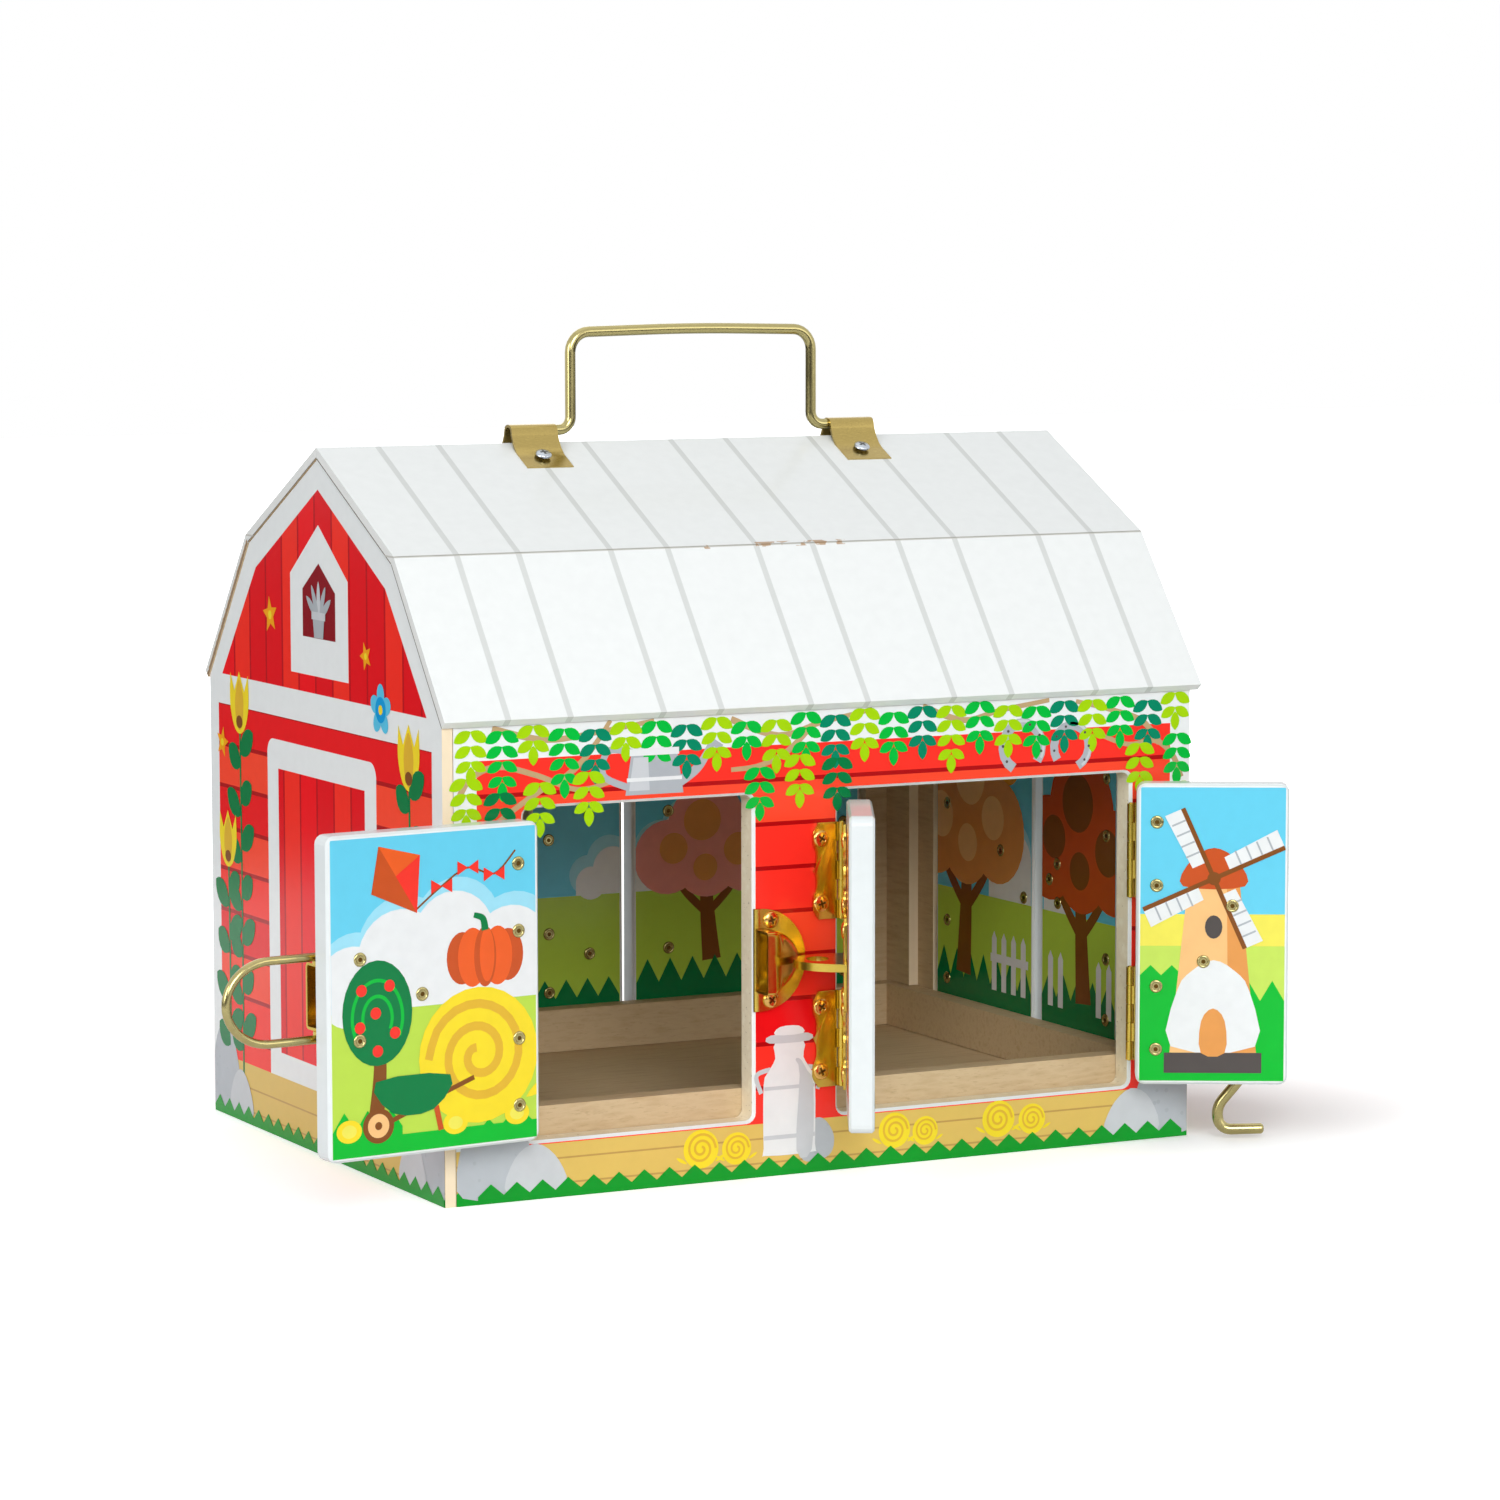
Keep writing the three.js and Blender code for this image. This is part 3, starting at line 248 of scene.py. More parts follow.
def rgb(red, green, blue):
    """a printed colour, from 0 to 255 a channel, as the shader's linear colour"""
    def linear(value):
        share = value / 255
        return share / 12.92 if share <= 0.04045 else ((share + 0.055) / 1.055) ** 2.4

    return (linear(red), linear(green), linear(blue), 1)


RED = rgb(255, 52, 40)
DEEP_RED = rgb(176, 12, 16)
BOARD_REDS = (rgb(232, 2, 20), rgb(246, 6, 22), rgb(250, 44, 28))
CLAP_REDS = (rgb(240, 20, 26), RED, rgb(255, 74, 46))
WHITE = rgb(238, 242, 242)
STRIPE = rgb(218, 221, 219)
STRAW = rgb(226, 192, 100)
STRAW_LINE = rgb(196, 156, 84)
GRASS = rgb(0, 156, 40)
SKY = rgb(104, 208, 238)
FIELD = rgb(188, 222, 78)
RAW_WOOD = rgb(214, 190, 152)
JAMB = rgb(250, 242, 218)
GRAIN_X = (0.12, 1, 1)
GRAIN_Y = (1, 0.12, 1)
PRINT_DEPTH = 0.05
PRINT_GLOSS = 0.24
ON_FACE = 0.9
FACE_SOFT = 0.02


class Board(Nodes):
    """One gloss-printed material: its nodes, and the place of each point in millimetres."""

    def __init__(self, name):
        self.material = bpy.data.materials.new(name)
        self.material.use_nodes = True
        super().__init__(self.material.node_tree)
        self.shader = self.tree.nodes["Principled BSDF"]
        self.shader.inputs["Specular IOR Level"].default_value = PRINT_GLOSS
        self.place = self.add("ShaderNodeTexCoord").outputs
        self.spot = self.out("ShaderNodeVectorMath", self.place["Object"],
                             settings={"operation": "SCALE"}, Scale=1 / MM)
        self.x, self.y, self.z = self.parts(self.spot)

    def along(self, direction):
        """a point's reach along a direction, in millimetres"""
        return self.vector_math("DOT_PRODUCT", self.spot, direction)

    def facing(self, direction):
        return self.vector_math("DOT_PRODUCT", self.place["Normal"], direction)

    def noise(self, scale, detail=3.0, stretch=(1, 1, 1)):
        spread = self.out("ShaderNodeMapping", self.spot, Scale=stretch)
        return self.number("ShaderNodeTexNoise", Vector=spread, Scale=scale, Detail=detail,
                           output="Fac")

    def finish(self, colour, roughness, height, strength, depth=PRINT_DEPTH):
        bump = self.out("ShaderNodeBump", Strength=strength, Distance=depth * MM, Height=height)
        for label, value in (("Base Color", colour), ("Roughness", roughness), ("Normal", bump)):
            self.feed(self.shader.inputs[label], value)
        return self.material


def bare_wood(board, grain_along):
    """the colour of bare sanded plywood, with its grain drawn out along one way"""
    streaks = board.noise(0.35, 5, grain_along)
    flecks = board.noise(1.6, 3, grain_along)
    pale = board.mix(streaks.within(0.35, 0.62, 0.3), rgb(196, 168, 128), RAW_WOOD)
    return board.mix(flecks.over(0.66, 0.12) * 0.35, pale, rgb(168, 138, 100))


def gloss(board, colour, printed=None):
    """gloss varnish over the print, and dull bare wood where nothing is printed"""
    ripple = board.noise(0.22, 2)
    peel = board.noise(1.1, 2)
    mottled = board.mix(ripple.over(0.5, 0.5) * 0.03, colour, BLACK)
    rough = peel * 0.06 + (0.14 if printed is None else printed * -0.52 + 0.66)
    return board.finish(mottled, rough, peel + ripple * 3, 0.1)


# Printed shapes
# The pictures are flat shapes in flat inks, laid over each other on a board's face. A motif is a
# table of shapes round its own origin, each with its ink and its layer.
LIFT = 0.04
LAYER = 0.035
STACK_STEP = 0.0012
UP = Vector((0, 0, 1))


class Face:
    """One face of a board: u runs along it and v up it, in millimetres."""

    def __init__(self, body, start, along, normal, limits=None):
        self.body = body
        self.slot = "painted_walls" if body == "barn_body" else "painted_doors"
        self.start, self.along, self.normal = (Vector((*way[:2], 0))
                                               for way in (start, along, normal))
        self.limits = limits
        self.mirrored = self.along.cross(UP).dot(self.normal) < 0

    def at(self, u, v, lift):
        flat = self.start + self.along * u + self.normal * lift
        return Vector((flat.x, flat.y, v)) * MM


def cut_to(points, limits):
    """the shape without what lies outside the face's four limits"""
    for axis in (0, 1):
        for sign, limit in ((1, limits[2 * axis]), (-1, -limits[2 * axis + 1])):
            kept = []
            for here, ahead in zip(points, points[1:] + points[:1]):
                a = sign * here[axis] - limit
                b = sign * ahead[axis] - limit
                if a >= 0:
                    kept.append(here)
                if a * b < 0:
                    share = a / (a - b)
                    kept.append(tuple(p + (q - p) * share for p, q in zip(here, ahead)))
            points = kept
    return points


class Stroke(list):
    """A stroke, as a row of four-cornered shapes."""


class Picture:
    """Printed shapes on one face, one material for each ink."""

    def __init__(self, name, face):
        self.name = name
        self.face = face
        self.mesh = bmesh.new()
        self.inks = []
        self.laid = {}

    def lay(self, colour, layer, shape):
        """print a shape or a stroke over what its layer has already"""
        order = self.laid[layer] = self.laid.get(layer, 0) + 1
        lift = LIFT + LAYER * layer + STACK_STEP * order
        for points in shape if isinstance(shape, Stroke) else [shape]:
            self.print_shape(colour, points, lift)

    def stamp(self, motif, u=0.0, v=0.0, size=1.0, side=1, rise=0):
        """lay a motif's shapes round a place; side is -1 for the mirror image"""
        def moved(points):
            return [(u + side * size * a, v + size * b) for a, b in points]

        for colour, layer, shape in motif:
            if isinstance(shape, Stroke):
                self.lay(colour, layer + rise, Stroke(moved(points) for points in shape))
            else:
                self.lay(colour, layer + rise, moved(shape))

    def print_shape(self, colour, points, lift):
        points = cut_to(points, self.face.limits)
        if len(points) < 3:
            return
        ahead = points[1:] + points[:1]
        turned_over = sum(p[0] * q[1] - q[0] * p[1] for p, q in zip(points, ahead)) < 0
        if turned_over != self.face.mirrored:
            points = points[::-1]
        if colour not in self.inks:
            self.inks.append(colour)
        corners = [self.mesh.verts.new(self.face.at(u, v, lift)) for u, v in points]
        self.mesh.faces.new(corners).material_index = self.inks.index(colour)

    def done(self):
        self.mesh.normal_update()
        bmesh.ops.triangulate(self.mesh, faces=self.mesh.faces[:])
        data = bpy.data.meshes.new(self.name)
        self.mesh.to_mesh(data)
        self.mesh.free()
        for colour in self.inks:
            data.materials.append(ink(colour))
        made = add_object(self.name, data)
        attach(made, self.face.body)


INKS = {
    "white": (236, 239, 240), "pale_grey": (206, 210, 214), "grey": (178, 184, 190),
    "stone": (188, 194, 200), "dark_grey": (84, 78, 76), "lime": (168, 218, 8),
    "leaf_green": (0, 192, 62), "teal": (0, 138, 100), "deep_green": (0, 126, 66),
    "grass": (0, 190, 50), "turf": (0, 156, 40), "twig": (196, 166, 122), "yellow": (250, 224, 44),
    "gold": (230, 184, 52), "amber": (250, 168, 20), "rust": (204, 84, 34),
    "orange": (240, 98, 38), "brown": (134, 78, 30), "red": (248, 56, 44),
    "tan": (250, 198, 132), "deep_tan": (232, 158, 84), "pink": (244, 160, 150),
    "blue": (0, 158, 224), "pale_blue": (92, 200, 236), "mist": (160, 226, 246),
    "field": (200, 230, 96), "lemon": (244, 234, 92),
}
ink_made = {}


def ink(name):
    """a printed ink, a little uneven, under the board's gloss varnish"""
    if name not in ink_made:
        board = Board(f"ink_{name}")
        tone = INKS[name]
        deeper = rgb(*(channel * 0.98 for channel in tone))
        colour = board.mix(board.noise(0.16, 2).over(0.5, 0.5), rgb(*tone), deeper)
        if name == "stone":
            dots = board.number("ShaderNodeTexVoronoi", Vector=board.spot, Scale=0.2,
                                output="Distance")
            colour = board.mix(dots.under(0.17, 0.04), colour, rgb(*INKS["grey"]))
        ink_made[name] = gloss(board, colour)
    return ink_made[name]


def turned(points, u, v, degrees):
    """points turned about their origin and moved to (u, v)"""
    lean = math.radians(degrees)
    return [(u + a * math.cos(lean) - b * math.sin(lean),
             v + a * math.sin(lean) + b * math.cos(lean)) for a, b in points]


def arc(u, v, wide, tall, start, end, steps):
    """points along an oval's edge from one angle to another, in degrees"""
    angles = [math.radians(start + (end - start) * step / steps) for step in range(steps + 1)]
    return [(u + wide * math.cos(angle), v + tall * math.sin(angle)) for angle in angles]


def oval(u, v, wide, tall=None, lean=0, steps=28):
    tall = wide if tall is None else tall
    return turned(arc(0, 0, wide, tall, 0, 360, steps)[:-1], u, v, lean)


def smooth(points, closed=True, steps=6):
    """a soft curve through the points"""
    count = len(points)

    def pick(index):
        return points[index % count] if closed else points[max(0, min(count - 1, index))]

    curve = []
    for span in range(count if closed else count - 1):
        near = list(zip(*(pick(span + shift) for shift in (-1, 0, 1, 2))))
        for t in (step / steps for step in range(steps)):
            curve.append(tuple(
                0.5 * (2 * b + (c - a) * t + (2 * a - 5 * b + 4 * c - d) * t * t
                       + (3 * b - a - 3 * c + d) * t ** 3) for a, b, c, d in near))
    return curve if closed else curve + [points[-1]]


def stroke(points, width, end_width=None, steps=6):
    """a stroke along a soft curve, from one width to another"""
    end_width = width if end_width is None else end_width
    line = [Vector(point) for point in smooth(points, False, steps)]
    edges = []
    for index, here in enumerate(line):
        way = (line[min(len(line) - 1, index + 1)] - line[max(0, index - 1)]).normalized()
        half = (width + (end_width - width) * index / (len(line) - 1)) / 2
        side = Vector((-way.y, way.x)) * half
        edges.append((tuple(here + side), tuple(here - side)))
    return Stroke([a, c, d, b] for (a, b), (c, d) in zip(edges, edges[1:]))


def rectangle(u0, v0, u1, v1):
    return [(u0, v0), (u1, v0), (u1, v1), (u0, v1)]


def blade(u, v, length, width, degrees):
    """a pointed leaf from its foot, turned up from the u way"""
    upper = [(length * share, width * 2 * share ** 0.8 * (1 - share) ** 0.75)
             for share in (0, 0.12, 0.28, 0.46, 0.64, 0.8, 0.92, 1)]
    return turned(upper + [(a, -b) for a, b in upper[-2:0:-1]], u, v, degrees)


def teeth(u0, u1, base, low, high, pitch):
    """a row of pointed tufts standing on a base line"""
    points = [(u0, base)]
    count = max(1, round((u1 - u0) / pitch))
    for index in range(count + 1):
        at = u0 + (u1 - u0) * index / count
        points.append((at, low))
        if index < count:
            points.append((at + (u1 - u0) / count / 2, high))
    return points + [(u1, base)]


def swirl(radius, width, turns=2.2):
    """a spiral stroke, as on the end of a rolled bale"""
    count = int(turns * 12)
    points = []
    for step in range(count + 1):
        angle = 2 * math.pi * turns * step / count
        reach = radius * (1 - 0.86 * step / count)
        points.append((reach * math.cos(angle), reach * math.sin(angle)))
    return stroke(points, width, width, 2)


# Front wall
# One board with two doorways: red claps between white corner boards under a white band, with
# straw and a zigzag of grass below. Its doorways' sawn edges have a thin cream wash.
CLAP_PITCH = 16.75
CLAP_START = 33.3
CLAP_LINE = 1.6
WALL_CLAPS = (1, 0, 1, 2, 1, 1, 2, 1)
GABLE_CLAPS = (1, 2, 0, 1, 2, 0, 2, 0)
EAVE_BAND = 164.5
CORNER_BOARDS = (-146.3, 151.0)
STRAW_TOP = 20.5
STRAW_LINES = (14.4, 5.0)
STRAW_LINE_WIDE = 0.7
GRASS_PITCH = 10.5
GRASS_LOW = 3.0
GRASS_TOOTH = 4.4


def face_reach(node, outward):
    """how far out the node's outer face stands, in millimetres"""
    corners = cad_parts[node].data.vertices
    return max(corner.co.dot(Vector(outward)) for corner in corners) / MM


def clapboards(board, tones):
    """lapped boards, each a little redder or brighter, with a dark line at each lap"""
    colour = CLAP_REDS[1]
    for index, tone in enumerate(tones):
        low = CLAP_START + index * CLAP_PITCH
        if tone != 1:
            colour = board.mix(board.z.within(low, low + CLAP_PITCH), colour, CLAP_REDS[tone])
    return board.mix(board.z.saw(CLAP_START, CLAP_PITCH).under(CLAP_LINE), colour, DEEP_RED)


def ground(board, colour, across, straw_top=STRAW_TOP):
    """the straw band and the row of grass along a wall's foot"""
    up = board.z
    colour = board.mix(up.under(straw_top), colour, STRAW)
    for level in STRAW_LINES:
        colour = board.mix(up.within(level, level + STRAW_LINE_WIDE), colour, STRAW_LINE)
    tooth = abs(across.saw(0, GRASS_PITCH) - GRASS_PITCH / 2) * (-2 / GRASS_PITCH) + 1
    return board.mix(up.under(tooth * GRASS_TOOTH + GRASS_LOW), colour, GRASS)


def cream_edge(board):
    specks = board.noise(0.9, 2).over(0.72, 0.06)
    washed = board.mix(board.noise(0.2, 3).within(0.4, 0.6, 0.3) * 0.4, JAMB, RAW_WOOD)
    return board.mix(specks * 0.7, washed, rgb(120, 96, 62))


def long_wall(name, outward):
    board = Board(name)
    low_corner, high_corner = CORNER_BOARDS
    colour = clapboards(board, WALL_CLAPS)
    colour = board.mix(board.z.over(EAVE_BAND), colour, WHITE)
    corners = board.x.under(low_corner).either(board.x.over(high_corner))
    colour = board.mix(corners, colour, WHITE)
    colour = ground(board, colour, board.x)
    out = board.facing(outward)
    inner = board.mix(out.under(-ON_FACE, FACE_SOFT), cream_edge(board), bare_wood(board, GRAIN_X))
    rims = board.mix(out.over(0.3, FACE_SOFT), inner, WHITE)
    colour = board.mix(out.over(ON_FACE, FACE_SOFT), rims, colour)
    return gloss(board, colour, out.over(-ON_FACE, FACE_SOFT))


def dress(node, material):
    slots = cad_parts[node].data.materials
    slots.clear()
    slots.append(material)


dress("front_wall", long_wall("front_print", (0, -1, 0)))

# Back wall
# The plywood board behind the barn, with two doorways of its own. It is glued between the gables
# and has the same print as the front.
dress("back_wall", long_wall("back_print", (0, 1, 0)))

# Left gable
# A plywood end wall, printed with upright red boards inside white trim, a window and a barn door.
# Its front and back ends show the plies, and the white trim wraps round their outer edge.
GABLE_BOARD = 17.0
GABLE_BOARD_START = 3
BOARD_LINE = 1.5
BOARD_PICKS = ((3, 5, 1), (20, 3, 2))
BOARD_GAP = rgb(190, 2, 16)
TRIM_BOTTOM = 167.7
TRIM_TOP = 179.7
UPPER_RAKE = (0.52, 258.5)
LOWER_RAKE = (1.194, 224.7 + 1.194 * 65)
WINDOW_FRAME = (28.9, 186.5, 224.9, 244.9)
WINDOW_PANE = (16.4, 201.2, 219.6, 230.2)
PANE_RED = rgb(140, 4, 22)
PRINTED_DOOR = (54.7, 158.4)
PRINTED_PANEL = (43.5, 147)
RAIL_LOW = 24.5
RAIL_TOP = 34.2
JAMB_ROUND = 6.0
PLY_EDGE = rgb(246, 228, 196)
PLY_DARK = rgb(168, 104, 72)
PLY_LINE = (6.2, 6.8)
PLY_WRAP = 7.6
WALL_CORNER = 110


def upright_boards(board, across):
    tone = BOARD_REDS[0]
    for start, repeat, other in BOARD_PICKS:
        pick = across.saw(start, repeat * GABLE_BOARD).under(GABLE_BOARD)
        tone = board.mix(pick, tone, BOARD_REDS[other])
    line = across.saw(GABLE_BOARD_START, GABLE_BOARD).under(BOARD_LINE)
    return board.mix(line, tone, BOARD_GAP)


def house_shape(side, up, half, bottom, shoulder, apex):
    slope = (apex - shoulder) / half
    return side.under(half) * up.over(bottom) * (up + side * slope).under(apex)


def printed_door(board, side, colour, red):
    """a white door with rounded corners and a red panel"""
    past = [(reach - (half - JAMB_ROUND)).either(0).math("POWER", 2)
            for reach, half in zip((side, board.z), PRINTED_DOOR)]
    white = (past[0] + past[1]).math("SQRT").under(JAMB_ROUND)
    colour = board.mix(white, colour, WHITE)
    half, top = PRINTED_PANEL
    return board.mix(side.under(half) * board.z.within(RAIL_TOP, top), colour, red)


def gable_wall(node, outward, edge_half, doorway):
    board = Board(f"{node}_print")
    up = board.z
    side = abs(board.y)
    red = upright_boards(board, board.y)
    rakes = [(up + side * slope).under(top) for slope, top in (UPPER_RAKE, LOWER_RAKE)]
    colour = board.mix(rakes[0] * rakes[1] * up.over(TRIM_TOP), WHITE, red)
    colour = board.mix(house_shape(side, up, *WINDOW_FRAME), colour, WHITE)
    colour = board.mix(house_shape(side, up, *WINDOW_PANE), colour, PANE_RED)
    low = side.under(edge_half) * up.under(TRIM_BOTTOM)
    colour = board.mix(low, colour, clapboards(board, GABLE_CLAPS))
    if not doorway:
        colour = printed_door(board, side, colour, red)
    colour = ground(board, colour, board.y, STRAW_TOP if doorway else RAIL_LOW)
    out = board.facing(outward)
    deep = (board.along(outward) - face_reach(node, outward)) * -1
    plies = board.mix(out.under(-ON_FACE, FACE_SOFT), PLY_EDGE, bare_wood(board, GRAIN_Y))
    ends = abs(board.facing((0, 1, 0))).over(ON_FACE, FACE_SOFT) * side.over(WALL_CORNER)
    plies = board.mix(ends * deep.within(*PLY_LINE), plies, PLY_DARK)
    plies = board.mix(ends * deep.over(PLY_WRAP), plies, WHITE)
    edges = board.mix(out.over(0.3, FACE_SOFT), plies, WHITE)
    colour = board.mix(out.over(ON_FACE, FACE_SOFT), edges, colour)
    return gloss(board, colour, out.over(0.3, FACE_SOFT))


dress("left_gable_wall", gable_wall("left_gable_wall", (-1, 0, 0), 107.0, False))

# Right gable
# The plywood end wall with the double doorway, glued to the long walls like the left one. It has
# the same print, with no printed door and a lower band of straw.
dress("right_gable_wall", gable_wall("right_gable_wall", (1, 0, 0), 98.0, True))

# Roof
# Four white boards with thin grey stripes across the slopes in pairs, worn where they meet.
# Their ends are painted, with raw wood along the lower edge of one board, and a thin dark line
# of painted shade along the lower edge of every end, for the gap beneath it.
STRIPES = (-135.1, -109.9, -71.7, -47.7, -9.9, 14.4, 51.9, 77.2, 115.0, 139.6)
STRIPE_HALF = 1.2
ROOF_WHITE = rgb(242, 245, 244)
ROOF_END = rgb(236, 238, 236)
RAW_END = rgb(168, 140, 106)
GAP_SHADE_TONE = rgb(112, 104, 96)
SEAM_TONE = rgb(196, 194, 186)
WORN_TONE = rgb(178, 138, 92)
SEAM_HALF = 0.35
GAP_SHADE_LINE = 0.45
RAW_LOWER_BACK = 1.7
BREAK_UP = face_reach("roof_lower_front", (0, 0, 1))
WEAR_HALF = 0.9
WEAR_SPAN = (-42, 30)
SLOPES = {"upper": (0.4497, 0.8932), "lower": (0.7832, 0.6217)}


def roof_print(node, outward, raw_depth):
    board = Board(f"{node}_paint")
    stripes = [board.x.within(place - STRIPE_HALF, place + STRIPE_HALF) for place in STRIPES]
    striped = stripes[0]
    for stripe in stripes[1:]:
        striped = striped.either(stripe)
    colour = board.mix(striped, ROOF_WHITE, STRIPE)
    out = board.facing(outward)
    colour = board.mix(out.under(-0.5, 0.1), colour, bare_wood(board, GRAIN_X))
    inward = tuple(-share for share in outward)
    low_side = (board.along(inward) - face_reach(node, inward)) * -1
    rough = (board.noise(0.8, 4) - 0.5) * 1.4
    end_grain = board.mix((low_side + rough).under(raw_depth), ROOF_END, RAW_END)
    # a thin dark line along each end's lower edge, painted shade of the gap under the board
    end_grain = board.mix(low_side.under(GAP_SHADE_LINE), end_grain, GAP_SHADE_TONE)
    colour = board.mix(abs(board.facing((1, 0, 0))).over(ON_FACE, 0.05), colour, end_grain)
    from_break = abs(board.z - BREAK_UP)
    colour = board.mix(from_break.under(SEAM_HALF) * 0.8, colour, SEAM_TONE)
    patches = board.noise(0.12, 5).over(0.56, 0.03)
    worn = from_break.under(WEAR_HALF) * patches * board.x.within(*WEAR_SPAN, 8)
    colour = board.mix(worn * 0.8, colour, WORN_TONE)
    return gloss(board, colour, out.over(-0.5, 0.1))


for level, (out, up) in SLOPES.items():
    for side_name, side in (("front", -1), ("back", 1)):
        name = f"roof_{level}_{side_name}"
        raw_depth = RAW_LOWER_BACK if name == "roof_lower_back" else 0
        dress(name, roof_print(name, (0, side * out, up), raw_depth))

# Floor board and rails
# A floor of bare sanded plywood on plain rails, glued inside the walls. Neither is painted, and
# the grain runs along the barn.


def raw_board(name, grain):
    board = Board(name)
    fibre = board.noise(2.2, 4, grain)
    return board.finish(bare_wood(board, grain), fibre * 0.2 + 0.55, fibre, 0.35, 0.1)


dress("floor_panel", raw_board("floor_wood", GRAIN_X))
dress("floor_rails", raw_board("rail_wood", (0.2, 1, 1)))

# Leaf sprigs
# Hanging sprigs of pointed leaves in pairs, printed in rows along the walls' white bands. One
# node tree makes them, and each spot gives a sprig's place, turn and green.
SPRIG_LEAF = 7.3
SPRIG_WIDE = 4.1
SPRIG_PITCH = 5.6
LEAF_SPLAY = 30
SPRIG_GREENS = (("lime", "leaf_green", "teal"), ("lime", "leaf_green", "deep_green"))
GREEN_LABELS = ("First green", "Second green", "Third green")


class Tree(Nodes):
    """Geometry nodes with named inputs: numbers, whole numbers and materials."""

    def __init__(self, name, sizes, materials):
        tree = bpy.data.node_groups.new(name, "GeometryNodeTree")
        super().__init__(tree)
        face = tree.interface
        face.new_socket("Geometry", in_out="INPUT", socket_type="NodeSocketGeometry")
        for label, value in sizes.items():
            kind = "NodeSocketInt" if isinstance(value, int) else "NodeSocketFloat"
            face.new_socket(label, in_out="INPUT", socket_type=kind).default_value = value
        for label in materials:
            face.new_socket(label, in_out="INPUT", socket_type="NodeSocketMaterial")
        face.new_socket("Geometry", in_out="OUTPUT", socket_type="NodeSocketGeometry")
        self.given = self.add("NodeGroupInput").outputs

    def sizes(self, *labels):
        return [Number(self, self.given[label]) for label in labels]

    def vector(self, x, y, z):
        return self.out("ShaderNodeCombineXYZ", x, y, z)

    def disc(self, corners, radius):
        return self.out("GeometryNodeMeshCircle", settings={"fill_type": "NGON"},
                        Vertices=corners, Radius=radius)

    def moved(self, shape, **change):
        return self.out("GeometryNodeTransform", Geometry=shape, **change)

    def attribute(self, name, kind):
        return self.out("GeometryNodeInputNamedAttribute", settings={"data_type": kind},
                        Name=name, output="Attribute")

    def marked(self, shape, name, kind, domain, value):
        """the shape with a named value stored on each of its points or faces"""
        return self.out("GeometryNodeStoreNamedAttribute", Geometry=shape, Name=name, Value=value,
                        settings={"data_type": kind, "domain": domain})

    def join(self, *shapes):
        made = self.tree.nodes.new("GeometryNodeJoinGeometry")
        for shape in shapes:
            self.tree.links.new(shape, made.inputs[0])
        return made.outputs[0]

    def stand(self, shape):
        """one copy of the shape on each given point, turned and sized as the point says"""
        facing = self.out("FunctionNodeEulerToRotation", self.attribute("turn", "FLOAT_VECTOR"))
        placed = self.out(
            "GeometryNodeInstanceOnPoints", Points=self.given["Geometry"], Instance=shape,
            Rotation=facing, Scale=self.attribute("size", "FLOAT"))
        return self.out("GeometryNodeRealizeInstances", placed)

    def paint(self, shape, label, only=True):
        return self.out("GeometryNodeSetMaterial", Geometry=shape, Material=self.given[label],
                        Selection=only)

    def end(self, shape):
        self.add("NodeGroupOutput", shape)
        return self.tree


def sprig_tree():
    t = Tree("sprigs", {"Leaf length": SPRIG_LEAF * MM, "Leaf width": SPRIG_WIDE * MM,
                        "Pair pitch": SPRIG_PITCH * MM, "Pairs": 3}, GREEN_LABELS)
    length, width, pitch, pairs = t.sizes("Leaf length", "Leaf width", "Pair pitch", "Pairs")
    x, y, _ = t.parts(t.out("GeometryNodeInputPosition"))
    long = (x + 1.0) * (length * 0.5)
    wide = y * abs(y).math("POWER", 0.7) * (width * 0.5)
    leaf = t.out("GeometryNodeSetPosition", Geometry=t.disc(16, 1.0),
                 Position=t.vector(long, wide, 0.0))

    def spun(degrees):
        return t.moved(leaf, Rotation=(0, 0, math.radians(degrees)))

    over = t.moved(spun(LEAF_SPLAY - 180), Translation=(0, 0, 2 * STACK_STEP * MM))
    pair = t.join(spun(-LEAF_SPLAY), over)
    down = pitch * -1.0
    line = t.out("GeometryNodeMeshLine", Count=pairs,
                 Offset=t.vector(0.0, down, 4 * STACK_STEP * MM))
    smaller = t.number("GeometryNodeInputIndex") * -0.05 + 1.06
    stack = t.out("GeometryNodeInstanceOnPoints", Points=line, Instance=pair, Scale=smaller)
    foot = t.vector(0.0, down * (pairs - 0.7), -STACK_STEP * MM)
    sprig = t.join(stack, t.moved(spun(-90), Translation=foot))
    shape = t.stand(t.moved(sprig, Rotation=(math.radians(90), 0, 0)))
    shade = t.attribute("shade", "INT")
    for index, label in enumerate(GREEN_LABELS):
        pick = t.add("FunctionNodeCompare", settings={"data_type": "INT", "operation": "EQUAL"})
        t.feed(pick.inputs[2], shade)
        t.feed(pick.inputs[3], index)
        shape = t.paint(shape, label, pick.outputs[0])
    return t.end(shape)


SPOT_VALUES = (("turn", "FLOAT_VECTOR", "vector"), ("size", "FLOAT", "value"),
               ("shade", "INT", "value"))


def bake(name, tree, spots, inputs, body, slot):
    """a plain mesh of the tree's copies; a spot is (place, turn, size, shade)"""
    seeds = bpy.data.meshes.new(name)
    seeds.from_pydata([spot[0] for spot in spots], [], [])
    for place, (label, kind, key) in enumerate(SPOT_VALUES, 1):
        layer = seeds.attributes.new(label, kind, "POINT")
        for point, spot in zip(layer.data, spots):
            setattr(point, key, spot[place])
    made = add_object(name, seeds)
    modifier = made.modifiers.new("copies", "NODES")
    modifier.node_group = tree
    for item in tree.interface.items_tree:
        if item.name in inputs:
            modifier[item.identifier] = inputs[item.name]
    ready = made.evaluated_get(bpy.context.evaluated_depsgraph_get())
    plain = bpy.data.meshes.new_from_object(ready)
    made.modifiers.remove(modifier)
    made.data = plain
    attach(made, body)


SPRIGS = sprig_tree()


